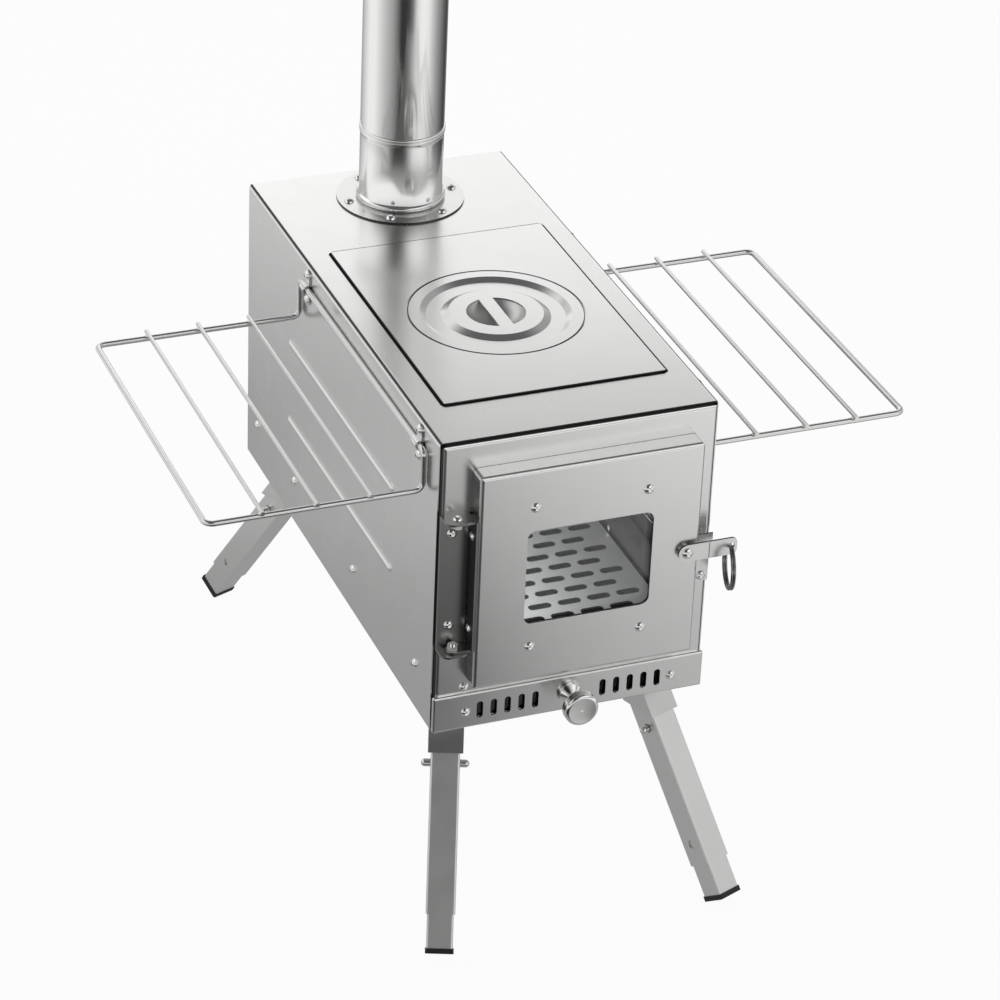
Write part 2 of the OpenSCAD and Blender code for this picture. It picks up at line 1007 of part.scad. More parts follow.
// Pipe section whose necked end stands in the collar
module flue_pipe() {
    neck_r = pipe_r - pipe_wall - neck_gap;
    seat = collar_h + weld_gap;
    color(bright)
        raised()
            translate([0, flue_y, body_h + seat])
                rotate_extrude()
                    polygon([
                        [neck_r - pipe_wall, -neck_l],
                        [neck_r, -neck_l],
                        [neck_r, 0],
                        [pipe_r, 0],
                        [pipe_r, pipe_h],
                        [pipe_r - pipe_wall, pipe_h],
                        [pipe_r - pipe_wall, shoulder_l],
                        [neck_r - pipe_wall, 0],
                    ]);
}

// Slotted plate that carries the fire, on two down-turned sides
module fire_grate() {
    grate_y0 = front_y + lip_d + grate_front_gap;
    grate_y1 = body_d / 2 - rear_lip_d - grate_back_gap;
    grate_d = grate_y1 - grate_y0;
    rows = floor((grate_d / 2 - grate_margin) / grate_row);
    side_h = grate_z - sheet - free_gap;
    color(dark_steel)
        raised()
            translate([0, (grate_y0 + grate_y1) / 2, 0]) {
                translate([0, 0, grate_z - grate_t])
                    linear_extrude(grate_t)
                        difference() {
                            square([grate_w, grate_d], center = true);
                            for (row = [-rows : rows])
                                translate([0, row * grate_row])
                                    grate_slots(row % 2 == 0 ? stagger_share : 0);
                        }
                for (side = [-1, 1])
                    translate([side * (grate_w - grate_t) / 2, 0, grate_z - side_h / 2])
                        cube([grate_t, grate_d, side_h], center = true);
            }
}

// One row of slots across the grate, shifted by a share of the pitch
module grate_slots(shift_share) {
    reach = floor((grate_w / 2 - grate_margin) / grate_pitch);
    for (k = [-reach - 1 : reach])
        let (x = (k + shift_share) * grate_pitch)
            if (abs(x) + grate_slot_l / 2 < grate_w / 2 - grate_t)
                translate([x, 0])
                    rotate(90)
                        slot_shape(grate_slot_w, grate_slot_l);
}

// Outline of a hinge ear seen from above, about the pivot
module leaf_ear_outline() {
    circle(r = ear_r);
    translate([0, -ear_r])
        square([-pivot_x - (door_w / 2 - door_x), 2 * ear_r]);
}

// Outline of the bracket's ears seen from above, about the pivot
module bracket_ear_outline() {
    back = pivot_out;
    front = pivot_out - bracket_out;
    mid_x = (bracket_right - bracket_left) / 2;
    w = bracket_left + bracket_right;
    translate([mid_x, back])
        mirror([0, 1])
            translate([-w / 2, 0])
                square([w, back - front - bracket_r]);
    translate([mid_x - w / 2 + bracket_r, front])
        square([w - 2 * bracket_r, back - front]);
    for (x = [mid_x - w / 2 + bracket_r, mid_x + w / 2 - bracket_r])
        translate([x, front + bracket_r])
            circle(r = bracket_r);
}

// Bracket on the front frame: a web with an ear at each end
module hinge_bracket() {
    color(steel)
        raised()
            difference() {
                translate([pivot_x, pivot_y, hinge_z])
                    difference() {
                        union() {
                            for (z = [0, hinge_h - hinge_t])
                                translate([0, 0, z])
                                    linear_extrude(hinge_t)
                                        bracket_ear_outline();
                            translate([-bracket_left, pivot_out - hinge_t, 0])
                                cube([bracket_left + bracket_right, hinge_t, hinge_h]);
                        }
                        translate([0, 0, -over])
                            cylinder(r = pin_r + fit, h = hinge_h + 2 * over);
                    }
                for (z = hinge_screw_zs)
                    translate([hinge_screw_x, front_y, z])
                        to_front()
                            cylinder(r = hole_r, h = 2 * (hinge_t + over), center = true);
            }
}

// Two bolts that the door swings on: each has a head outside and a nut inside
module hinge_pins() {
    pin_l = 2 * hinge_t + ear_gap + ear_gap + nut_h + bolt_over;
    color(bright)
        raised()
            translate([pivot_x, pivot_y, hinge_z + hinge_h / 2])
                for (end = [-1, 1])
                    rotate([90 - end * 90, 0, 0])
                        translate([0, 0, hinge_h / 2]) {
                            button_screw(pin_head_r, pin_head_h, pin_r, pin_l);
                            translate([0, 0, bolt_over - pin_l])
                                cylinder(r = nut_r, h = nut_h, $fn = 6);
                        }
}

// Leaf on the door's left side: a web with an ear at each end, inside the bracket's ears
module hinge_leaf() {
    color(steel)
        raised()
            difference() {
                translate([pivot_x, pivot_y, leaf_z])
                    difference() {
                        union() {
                            linear_extrude(leaf_h)
                                leaf_ear_outline();
                            translate([door_left - pivot_x - hinge_t,
                                pivot_out - leaf_front, 0])
                                cube([hinge_t, leaf_front - leaf_back, leaf_h]);
                        }
                        translate([-ear_r - over, -ear_r - over, hinge_t])
                            cube([door_left - pivot_x - hinge_t + ear_r + over,
                                2 * (ear_r + over), leaf_h - 2 * hinge_t]);
                        translate([0, 0, -over])
                            cylinder(r = pin_r + fit, h = leaf_h + 2 * over);
                    }
                at_leaf_rivets()
                    cylinder(r = rivet_shank_r + fit, h = 2 * (hinge_t + over), center = true);
            }
}

// Places children at the leaf's rivets, pointing out of the door's left side
module at_leaf_rivets() {
    for (end = [-1, 1])
        translate([door_left, front_y - rivet_out, hinge_z + hinge_h / 2 + end * rivet_dz])
            to_side(-1)
                children();
}

// Rivets that hold the leaf to the door's left side
module leaf_rivets() {
    color(bright)
        raised()
            at_leaf_rivets() {
                translate([0, 0, hinge_t])
                    dome(rivet_r, rivet_h);
                translate([0, 0, -door_sheet])
                    cylinder(r = rivet_shank_r, h = hinge_t + door_sheet + rivet_h / 2);
                translate([0, 0, -door_sheet])
                    mirror([0, 0, 1])
                        dome(rivet_r, rivet_h / 2);
            }
}

// Repeats children at the four window screws, in the plane of the door
module at_window_screws() {
    for (sx = [-1, 1], sz = [-1, 1])
        translate([door_x + sx * window_screw_x, 0, window_z + sz * window_screw_z])
            children();
}

// Folded door with its window and screw holes
module door_panel() {
    color(bright)
        raised()
            difference() {
                translate([door_x, front_y - door_front, door_z])
                    pan(door_w, door_h, door_d, door_sheet, door_edge_r, door_corner_r);
                translate([door_x, 0, window_z])
                    stand(front_y - door_front - over, door_sheet + 2 * over)
                        round_rect(window_w, window_h, corner_r);
                translate([0, front_y - door_front, 0]) {
                    at_window_screws()
                        bar_y(window_shank_r + fit, 2 * (door_sheet + over));
                    translate([latch_x, 0, latch_z])
                        bar_y(latch_shank_r + fit, 2 * (door_sheet + over));
                }
                at_leaf_rivets()
                    cylinder(r = rivet_shank_r + fit, h = 2 * (door_sheet + over),
                        center = true);
            }
}

// Woven seal between the door and the glass
module window_gasket() {
    color(felt)
        raised()
            translate([door_x, 0, window_z])
                stand(front_y - door_inside, gasket_t)
                    difference() {
                        square([window_w + 2 * gasket_w, window_h + 2 * gasket_w],
                            center = true);
                        round_rect(window_w, window_h, corner_r);
                    }
}

// Flat pane of stove glass
module window_glass() {
    color(clear_glass)
        raised()
            translate([door_x, 0, window_z])
                stand(front_y - door_inside + gasket_t, glass_t)
                    square([window_w + 2 * glass_rim, window_h + 2 * glass_rim],
                        center = true);
}

// Frame that clamps the glass from inside, on four spacers
module glass_frame() {
    inner_face = front_y - glass_back;
    color(steel)
        raised()
            difference() {
                union() {
                    translate([door_x, 0, window_z])
                        stand(inner_face, glass_frame_t)
                            difference() {
                                round_rect(glass_frame_w, glass_frame_h, corner_r);
                                round_rect(window_w + 2 * glass_frame_clear,
                                    window_h + 2 * glass_frame_clear, corner_r);
                            }
                    translate([0, inner_face - (gasket_t + glass_t) / 2, 0])
                        at_window_screws()
                            bar_y(spacer_r, gasket_t + glass_t);
                }
                translate([0, inner_face, 0])
                    at_window_screws()
                        bar_y(window_shank_r + fit, 2 * (gasket_t + glass_t + over));
            }
}

// Screws of the window with their nuts behind the glass frame
module window_screws() {
    stack = door_sheet + gasket_t + glass_t + glass_frame_t;
    color(bright)
        raised()
            translate([0, front_y - door_front, 0])
                at_window_screws()
                    to_front() {
                        button_screw(window_head_r, head_h, window_shank_r,
                            stack + small_nut_h);
                        translate([0, 0, -stack - small_nut_h])
                            cylinder(r = small_nut_r, h = small_nut_h, $fn = 6);
                    }
}

// Shoulder screw that the latch bar turns on, with its nut inside the door
module latch_screw() {
    color(bright)
        raised()
            translate([latch_x, front_y - door_front, latch_z])
                to_front() {
                    cylinder(r = latch_spacer_r, h = latch_off - latch_slack);
                    translate([0, 0, latch_off + latch_t + latch_slack])
                        button_screw(latch_head_r, latch_head_h, latch_shank_r,
                            latch_off + latch_t + latch_slack + door_sheet + nut_h);
                    translate([0, 0, -door_sheet - nut_h])
                        cylinder(r = nut_r, h = nut_h, $fn = 6);
                }
}

// Latch bar with its ring hole and the crease across it
module latch_bar() {
    color(steel)
        raised()
            translate([latch_x, 0, latch_z])
                difference() {
                    stand(front_y - latch_front, latch_t)
                        difference() {
                            union() {
                                circle(d = latch_w);
                                translate([0, -latch_w / 2])
                                    square([latch_l - latch_r, latch_w]);
                                translate([latch_l - latch_w, 0])
                                    round_rect(2 * latch_w, latch_w, latch_r);
                            }
                            circle(r = latch_shank_r + fit);
                            translate([latch_hole_x, latch_hole_dz])
                                circle(r = latch_hole_r);
                        }
                    translate([latch_crease_x, front_y - latch_front, 0])
                        cube([crease_w, 2 * crease_depth, latch_w + over], center = true);
                }
}

// Pull ring of two turns of wire, through the hole in the latch bar
module latch_ring() {
    color(bright)
        raised()
            translate([latch_x + latch_hole_x, front_y - (latch_back + latch_front) / 2,
                latch_z + latch_hole_dz - ring_hang - ring_r])
                rotate([0, 90, -ring_twist])
                    rotate_extrude()
                        for (side = [-1, 1])
                            translate([ring_r, side * ring_wire_off])
                                circle(r = ring_wire_r);
}

// Stepped keeper plate beside the door
module latch_keeper() {
    z1 = keeper_z + keeper_foot_h;
    z2 = z1 + keeper_step;
    z3 = z2 + keeper_lip_h;
    out = keeper_step + keeper_t;
    color(steel)
        raised()
            difference() {
                translate([keeper_x, front_y, 0])
                    along_x(keeper_w)
                        polygon([
                            [0, keeper_z],
                            [-keeper_t, keeper_z],
                            [-keeper_t, z1],
                            [-out, z2],
                            [-out, z3],
                            [-keeper_step, z3],
                            [-keeper_step, z2 + keeper_t / 2],
                            [0, z1 + keeper_t / 2],
                        ]);
                translate([keeper_x, front_y, keeper_screw_z])
                    bar_y(hole_r, 2 * (keeper_t + over));
            }
}

// Clips that hold the hinge rods against the side walls
module rack_clips() {
    saddle_r = rack_wire / 2 + rod_fit + clip_t;
    bore_r = rack_wire / 2 + rod_fit;
    color(steel)
        raised()
            for (side = [-1, 1])
                flip(side, 1)
                    at_clip_rows()
                        difference() {
                            union() {
                                translate([body_w / 2, 0, rod_z])
                                    to_side(1)
                                        linear_extrude(clip_t)
                                            rotate(90)
                                                slot_shape(clip_w, clip_l);
                                translate([rod_x, 0, rod_z])
                                    bar_y(saddle_r, clip_w);
                            }
                            translate([rod_x, 0, rod_z])
                                bar_y(bore_r, clip_w + over);
                            translate([rod_x - bore_r, 0, rod_z])
                                cube([2 * bore_r, clip_w + over, 2 * bore_r], center = true);
                            translate([body_w / 2 - saddle_r, 0, rod_z])
                                cube([2 * saddle_r, clip_w + over, 3 * saddle_r],
                                    center = true);
                            for (dz = [-clip_screw_dz, clip_screw_dz])
                                translate([body_w / 2, 0, rod_z + dz])
                                    bar_x(hole_r, 2 * (clip_t + over));
                        }
}

// Screws of the clips
module rack_screws() {
    color(bright)
        raised()
            at_clip_screws()
                translate([0, 0, clip_t])
                    button_screw(head_r, head_h, shank_r, shank_l);
}

// Quarter bend at a corner whose two legs run along +X and +Y
module bend(b, r) {
    translate([b, b, 0])
        rotate([0, 0, 180])
            rotate_extrude(angle = 90)
                translate([b, 0])
                    circle(r = r);
}

// Wire frame of the right rack: hinge rod, two arms, two shelf wires and the outer wire
module rack_wires() {
    r = rack_wire / 2;
    translate([rod_x, rack_y, rod_z]) {
        bar_y(r, rack_l - 2 * rack_bend_r);
        translate([rack_reach, 0, -rack_drop])
            bar_y(r, rack_l - 2 * shelf_bend_r);
        for (end = [-1, 1])
            flip(1, -end)
                translate([0, -rack_l / 2, 0]) {
                    rotate([0, 90, 0])
                        bend(rack_bend_r, r);
                    translate([0, 0, shelf_bend_r - rack_drop])
                        cylinder(r = r, h = rack_drop - rack_bend_r - shelf_bend_r);
                    translate([0, 0, -rack_drop]) {
                        rotate([90, 0, 0])
                            bend(shelf_bend_r, r);
                        translate([rack_reach / 2, 0, 0])
                            bar_x(r, rack_reach - 2 * shelf_bend_r);
                        translate([rack_reach, 0, 0])
                            rotate([0, 0, 90])
                                bend(shelf_bend_r, r);
                    }
                }
    }
}

// Wire frame of one rack
module rack_frame(side) {
    color(bright)
        raised()
            flip(side, 1)
                rack_wires();
}

// Shelf wires of one rack, welded on top of its frame
module rack_bars(side) {
    bar_z = rod_z - rack_drop + (rack_wire + bar_wire) / 2 + weld_gap;
    color(bright)
        raised()
            flip(side, 1)
                for (share = bar_reach_shares)
                    translate([rod_x + rack_reach * share, rack_y, bar_z])
                        bar_y(bar_wire / 2, rack_l + 2 * bar_over);
}

// Mirrors children to the left for side_x = -1 and to the front for side_y = -1
module flip(side_x, side_y) {
    if (side_x < 0)
        mirror([1, 0, 0])
            flip(1, side_y)
                children();
    else if (side_y < 0)
        mirror([0, 1, 0])
            children();
    else
        children();
}

// Frame of one leg: origin under the firebox, Y pointing the way the leg leans
module at_leg(side_x, side_y) {
    raised()
        flip(side_x, side_y)
            translate([leg_x, leg_y, 0])
                rotate([0, 0, -leg_splay])
                    children();
}

// Turns the leg's frame so that the leg runs down along -Z
module down_leg() {
    rotate([leg_tilt, 0, 0])
        children();
}

// Places children at a length down the leg's axis
module down_by(length) {
    translate([0, 0, -length])
        children();
}

// Channel bracket that holds the leg's pivot and stops it from leaning further
module leg_bracket(side_x, side_y) {
    slot_half = tube_w / 2 + bracket_gap;
    reach = 2 * bracket_drop;
    color(steel)
        at_leg(side_x, side_y)
            difference() {
                union() {
                    intersection() {
                        down_leg()
                            difference() {
                                cube([2 * channel_half, 2 * channel_half, 2 * reach],
                                    center = true);
                                translate([-slot_half, slot_half - 2 * reach, -2 * reach])
                                    cube([2 * slot_half, 2 * reach, 4 * reach]);
                            }
                        translate([-reach, -reach, -bracket_drop])
                            cube([2 * reach, 2 * reach, bracket_drop]);
                    }
                    translate([0, (channel_front - bracket_back) / 2, -bracket_t])
                        linear_extrude(bracket_t)
                            round_rect(2 * channel_half, channel_front + bracket_back,
                                bracket_corner_r);
                }
                down_leg()
                    down_by(leg_pivot)
                        bar_x(leg_pin_r + fit, 2 * (channel_half + over));
                leg_rivet_spots()
                    cylinder(r = leg_rivet_r + fit, h = 2 * (bracket_t + over),
                        center = true);
            }
}

// Repeats children at the two rivets of a leg's bracket
module leg_rivet_spots() {
    for (side = [-1, 1])
        translate([side * leg_rivet_x, leg_rivet_in - bracket_back, 0])
            children();
}

// Places children at every bracket rivet, already inside the firebox's frame
module at_leg_rivets() {
    for (corner = corners)
        flip(corner[0], corner[1])
            translate([leg_x, leg_y, 0])
                rotate([0, 0, -leg_splay])
                    leg_rivet_spots()
                        children();
}

// Rivets that hold the brackets to the bottom pan
module leg_rivets() {
    color(bright)
        raised()
            at_leg_rivets() {
                translate([0, 0, -bracket_t])
                    cylinder(r = leg_rivet_r, h = bracket_t + sheet);
                translate([0, 0, -bracket_t])
                    mirror([0, 0, 1])
                        dome(leg_rivet_head_r, leg_rivet_head_h);
                translate([0, 0, sheet])
                    dome(leg_rivet_head_r, leg_rivet_head_h);
            }
}

// Pivot pins of the four legs, with a head on each end
module leg_pins() {
    color(bright)
        for (corner = corners)
            at_leg(corner[0], corner[1])
                down_leg()
                    down_by(leg_pivot) {
                        bar_x(leg_pin_r, 2 * channel_half);
                        for (side = [-1, 1])
                            translate([side * (channel_half + leg_pin_head_h / 2), 0, 0])
                                bar_x(leg_pin_head_r, leg_pin_head_h);
                    }
}

// Outer tube of a leg, rounded about its pivot, with holes for the snap buttons
module leg_tube(side_x, side_y) {
    bore_w = tube_w - 2 * tube_wall;
    color(bright)
        at_leg(side_x, side_y)
            down_leg()
                difference() {
                    intersection() {
                        down_by(tube_end)
                            linear_extrude(tube_end)
                                difference() {
                                    round_rect(tube_w, tube_w, tube_corner_r);
                                    round_rect(bore_w, bore_w, tube_corner_r - tube_wall);
                                }
                        along_x(tube_w + over) {
                            translate([0, -leg_pivot])
                                circle(r = tube_w / 2);
                            translate([-tube_w / 2 - over, -tube_end - over])
                                square([tube_w + 2 * over, tube_end - leg_pivot + over]);
                        }
                    }
                    down_by(leg_pivot)
                        bar_x(leg_pin_r + leg_pin_fit, tube_w + over);
                    for (length = [button_l, lower_hole_l])
                        down_by(length)
                            bar_x(button_hole_r, tube_w + over);
                }
}

// Inner tube of a leg, which slides out of the outer tube
module leg_inner(side_x, side_y) {
    bore_w = inner_w_tube - 2 * inner_wall;
    color(steel)
        at_leg(side_x, side_y)
            down_leg()
                difference() {
                    down_by(inner_end)
                        linear_extrude(inner_end - inner_top)
                            difference() {
                                round_rect(inner_w_tube, inner_w_tube, tube_corner_r);
                                square([bore_w, bore_w], center = true);
                            }
                    down_by(button_l)
                        bar_x(button_hole_r, tube_w + over);
                }
}

// Plastic foot pushed into the end of the inner tube
module foot_cap(side_x, side_y) {
    plug_w = inner_w_tube - 2 * inner_wall - 2 * foot_plug_gap;
    color(black)
        at_leg(side_x, side_y)
            down_leg() {
                down_by(foot_end)
                    linear_extrude(foot_t)
                        round_rect(foot_w, foot_w, tube_corner_r);
                down_by(inner_end)
                    linear_extrude(foot_plug_l)
                        square([plug_w, plug_w], center = true);
            }
}

// Leaf spring in the inner tube with a snap button on each end
module snap_spring(side_x, side_y) {
    color(bright)
        at_leg(side_x, side_y)
            down_leg()
                down_by(button_l)
                    for (side = [-1, 1])
                        flip(side, 1) {
                            stand(-spring_w / 2, spring_w)
                                polygon([
                                    [0, -spring_l],
                                    [spring_t, -spring_l],
                                    [spring_half, -button_r],
                                    [spring_half, button_r],
                                    [spring_half - spring_t, button_r],
                                    [spring_half - spring_t, -button_r],
                                    [0, spring_t - spring_l],
                                ]);
                            translate([(spring_half + button_reach - button_r) / 2, 0, 0])
                                bar_x(button_r, button_reach - button_r - spring_half);
                            translate([button_reach - button_r, 0, 0])
                                sphere(r = button_r);
                        }
}

top_front();
top_rear();
top_left();
top_right();
top_corners();
side_wall(-1);  // side_wall_l
side_wall(1);  // side_wall_r
front_frame();
rear_panel();
bottom_pan();
vent_panel();
body_screws();
front_screws();
hatch_seat();
flue_flange();
flue_collar();
flange_screws();
hinge_bracket();
hinge_pins();
latch_keeper();
rack_clips();
rack_screws();
leg_bracket(-1, -1);  // leg_bracket_fl
leg_bracket(1, -1);  // leg_bracket_fr
leg_bracket(-1, 1);  // leg_bracket_bl
leg_bracket(1, 1);  // leg_bracket_br
leg_pins();
leg_rivets();
door_panel();
hinge_leaf();
leaf_rivets();
window_glass();
window_gasket();
glass_frame();
window_screws();
latch_screw();
latch_bar();
latch_ring();
damper_plate();
damper_knob();
hatch_plate();
hob_lid();
lid_cup();
flue_pipe();
fire_grate();
rack_frame(-1);  // rack_frame_l
rack_frame(1);  // rack_frame_r
rack_bars(-1);  // rack_bars_l
rack_bars(1);  // rack_bars_r
leg_tube(-1, -1);  // leg_tube_fl
leg_tube(1, -1);  // leg_tube_fr
leg_tube(-1, 1);  // leg_tube_bl
leg_tube(1, 1);  // leg_tube_br
leg_inner(-1, -1);  // leg_inner_fl
leg_inner(1, -1);  // leg_inner_fr
leg_inner(-1, 1);  // leg_inner_bl
leg_inner(1, 1);  // leg_inner_br
foot_cap(-1, -1);  // foot_cap_fl
foot_cap(1, -1);  // foot_cap_fr
foot_cap(-1, 1);  // foot_cap_bl
foot_cap(1, 1);  // foot_cap_br
snap_spring(-1, -1);  // snap_spring_fl
snap_spring(1, -1);  // snap_spring_fr
snap_spring(-1, 1);  // snap_spring_bl
snap_spring(1, 1);  // snap_spring_br
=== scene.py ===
"""Tent wood stove in satin stainless steel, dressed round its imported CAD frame."""
import math

import bmesh
import bpy
from mathutils import Matrix, Vector


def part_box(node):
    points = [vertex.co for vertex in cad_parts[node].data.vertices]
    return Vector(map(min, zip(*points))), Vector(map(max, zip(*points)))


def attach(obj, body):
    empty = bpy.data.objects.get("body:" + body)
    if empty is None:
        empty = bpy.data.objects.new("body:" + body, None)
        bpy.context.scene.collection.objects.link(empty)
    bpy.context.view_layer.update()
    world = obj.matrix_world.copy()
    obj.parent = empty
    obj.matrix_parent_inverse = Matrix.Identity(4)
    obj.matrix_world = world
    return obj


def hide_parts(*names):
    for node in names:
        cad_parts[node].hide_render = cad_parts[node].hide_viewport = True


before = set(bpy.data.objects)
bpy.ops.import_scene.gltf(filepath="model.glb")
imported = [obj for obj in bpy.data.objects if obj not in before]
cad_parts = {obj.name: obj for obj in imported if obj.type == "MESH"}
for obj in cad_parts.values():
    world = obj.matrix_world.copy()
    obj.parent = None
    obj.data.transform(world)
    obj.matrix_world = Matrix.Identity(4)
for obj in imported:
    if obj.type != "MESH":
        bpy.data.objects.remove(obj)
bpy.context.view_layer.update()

# Camera
# The camera stands to the front left of the stove and looks down on it from about 2.7 metres,
# through a long lens, turned a little about its own axis.
camera_place = (-0.8857, -2.2088, 1.6112)
camera_turn = math.radians(-22.452)
camera_height = math.radians(30.587)
camera_roll = math.radians(2.581)
camera_data = bpy.data.cameras.new("photo_camera")
camera_data.sensor_width = 36.0
camera_data.lens = 139.95
camera_data.clip_start = 0.05
camera_data.clip_end = 50.0
camera = bpy.data.objects.new("photo_camera", camera_data)
bpy.context.scene.collection.objects.link(camera)
camera.matrix_world = (
    Matrix.Translation(camera_place)
    @ Matrix.Rotation(camera_turn, 4, "Z")
    @ Matrix.Rotation(math.pi / 2 - camera_height, 4, "X")
    @ Matrix.Rotation(camera_roll, 4, "Z")
)
bpy.context.scene.camera = camera
bpy.context.scene.view_settings.view_transform = "Standard"


# Studio floor and light
# White paper lies under the stove, a soft lamp shines from behind it, and a small one fills the
# firebox. A grey card on the floor, which only mirrors see, and a grey tent round it all give the
# steel its stripes. Both stay put in every view.

# The bearing of the stove's front left, where the camera stands, in degrees from its right.
front_left = -112.5


def linear(hex_colour):
    """Linear red, green, blue and alpha of an sRGB hex colour."""
    parts = [int(hex_colour[k:k + 2], 16) / 255 for k in (1, 3, 5)]
    return [c / 12.92 if c <= 0.04045 else ((c + 0.055) / 1.055) ** 2.4 for c in parts] + [1.0]


def add(tree, kind, inputs=None, **settings):
    """Adds a node. settings are its own properties. inputs are values or the sockets that feed
    it, by name, or by number where names repeat."""
    made = tree.nodes.new(kind)
    for name, value in settings.items():
        setattr(made, name, value)
    for key, value in (inputs or {}).items():
        if isinstance(value, bpy.types.NodeSocket):
            tree.links.new(value, made.inputs[key])
        else:
            made.inputs[key].default_value = value
    return made


def new_material(name):
    """An empty node material's tree and its output node."""
    material = bpy.data.materials.new(name)
    material.use_nodes = True
    material.node_tree.nodes.clear()
    return material, material.node_tree, add(material.node_tree, "ShaderNodeOutputMaterial")


def seen_directly(tree):
    """1 for what the camera, glass and mirrors see, 0 for the light that falls on dull things."""
    ray = add(tree, "ShaderNodeLightPath")
    either = add(tree, "ShaderNodeMath", {0: ray.outputs["Is Camera Ray"],
                                          1: ray.outputs["Is Glossy Ray"]}, operation="MAXIMUM")
    return add(tree, "ShaderNodeMath", {0: either.outputs[0],
                                        1: ray.outputs["Is Transmission Ray"]},
               operation="MAXIMUM").outputs[0]


def round_the_stove(tree, direction, levels):
    """Grey level by the angle round the stove, in degrees to the right of its front left. levels
    are its angles and levels, and the colour ramp that takes them starts with two stops."""
    turned = add(tree, "ShaderNodeMapping", {
        "Vector": direction, "Rotation": (0, 0, math.radians(-front_left))})
    apart = add(tree, "ShaderNodeSeparateXYZ", {0: turned.outputs[0]})
    angle = add(tree, "ShaderNodeMath", {0: apart.outputs["Y"], 1: apart.outputs["X"]},
                operation="ARCTAN2")
    share = add(tree, "ShaderNodeMath", {0: angle.outputs[0], 1: 1 / math.tau, 2: 0.5},
                operation="MULTIPLY_ADD")
    ramp = add(tree, "ShaderNodeValToRGB", {"Fac": share.outputs[0]})
    stops = ramp.color_ramp.elements
    for k, (degrees, level) in enumerate(levels):
        stop = stops[k] if k < 2 else stops.new(degrees / 360 + 0.5)
        stop.position = degrees / 360 + 0.5
        stop.color = (level, level, level, 1)
    return ramp.outputs[0]


def stage_mesh(name, made, material):
    """A mesh of the studio, which isn't part of the stove."""
    data = bpy.data.meshes.new(name)
    made.to_mesh(data)
    made.free()
    data.materials.append(material)
    thing = bpy.data.objects.new(name, data)
    bpy.context.scene.collection.objects.link(thing)
    return thing


# Bright white paper. Where it is seen it is lit evenly, apart from a faint shadow of the stove.
floor_reach = 12.0
floor_white_share = 0.95
paper_colour = "#F2F2F2"
paper, tree, out = new_material("white_paper_floor")
paper_shade = add(tree, "ShaderNodeBsdfDiffuse", {"Color": linear(paper_colour)})
paper_white = add(tree, "ShaderNodeEmission", {"Color": (1, 1, 1, 1), "Strength": 1.0})
paper_seen = add(tree, "ShaderNodeMath", {0: seen_directly(tree), 1: floor_white_share},
                 operation="MULTIPLY")
paper_mix = add(tree, "ShaderNodeMixShader", {
    0: paper_seen.outputs[0], 1: paper_shade.outputs[0], 2: paper_white.outputs[0]})
tree.links.new(paper_mix.outputs[0], out.inputs["Surface"])
made = bmesh.new()
bmesh.ops.create_grid(made, x_segments=1, y_segments=1, size=floor_reach)
stage_mesh("studio_floor", made, paper)

# Round the stove from behind, the card is grey, white on the left, grey, black in front, white on
# the right and black at the back right. These levels are dimmed as far out as card_near and full
# from card_far on, and under the stove the card has one plain level: a painted shadow of the
# stove. Past its edge it is white.
# Distances are in metres from the stove's middle.
card_lift = 0.0004
card_levels = [(-180, 0.30), (-152, 0.45), (-110, 0.97), (-90, 0.98), (-60, 0.60), (-35, 0.36),
               (-12, 0.03), (3, 0.03), (12, 0.06), (23, 0.20), (35, 0.74), (45, 0.94), (60, 1.0),
               (75, 0.89), (90, 0.59), (105, 0.37), (130, 0.15), (150, 0.05), (180, 0.30)]
card_under = 0.30
card_beside = 0.45
card_shadow_level = 0.36
card_near = 0.58
card_shadow_share = 0.57
card_far = 0.98
card_edge = (1.35, 2.2)
card, tree, out = new_material("grey_studio_card")
card_place = add(tree, "ShaderNodeTexCoord")
card_round = round_the_stove(tree, card_place.outputs["Object"], card_levels)
card_way = add(tree, "ShaderNodeVectorMath", {0: card_place.outputs["Object"]}, operation="LENGTH")
card_out = add(tree, "ShaderNodeMapRange", {
    0: card_way.outputs["Value"], 1: card_near, 2: card_far, 3: card_shadow_share, 4: 1.0})
card_shade = add(tree, "ShaderNodeVectorMath", {0: card_round, "Scale": card_out.outputs[0]},
                 operation="SCALE")
card_past = add(tree, "ShaderNodeMapRange", {
    0: card_way.outputs["Value"], 1: card_under, 2: card_beside})
card_mix = add(tree, "ShaderNodeMix", {
    "Factor": card_past.outputs[0], 4: (card_shadow_level,) * 3, 5: card_shade.outputs[0]},
               data_type="VECTOR")
card_off = add(tree, "ShaderNodeMapRange", {
    0: card_way.outputs["Value"], 1: card_edge[0], 2: card_edge[1]})
card_all = add(tree, "ShaderNodeMix", {
    "Factor": card_off.outputs[0], 4: card_mix.outputs[1], 5: (1.0,) * 3}, data_type="VECTOR")
card_light = add(tree, "ShaderNodeEmission", {"Color": card_all.outputs[1], "Strength": 1.0})
tree.links.new(card_light.outputs[0], out.inputs["Surface"])
made = bmesh.new()
bmesh.ops.create_grid(made, x_segments=1, y_segments=1, size=floor_reach)
bmesh.ops.translate(made, vec=(0, 0, card_lift), verts=made.verts)
card_sheet = stage_mesh("studio_card", made, card)
card_sheet.visible_camera = False
card_sheet.visible_diffuse = False
card_sheet.visible_shadow = False
card_sheet.visible_transmission = False

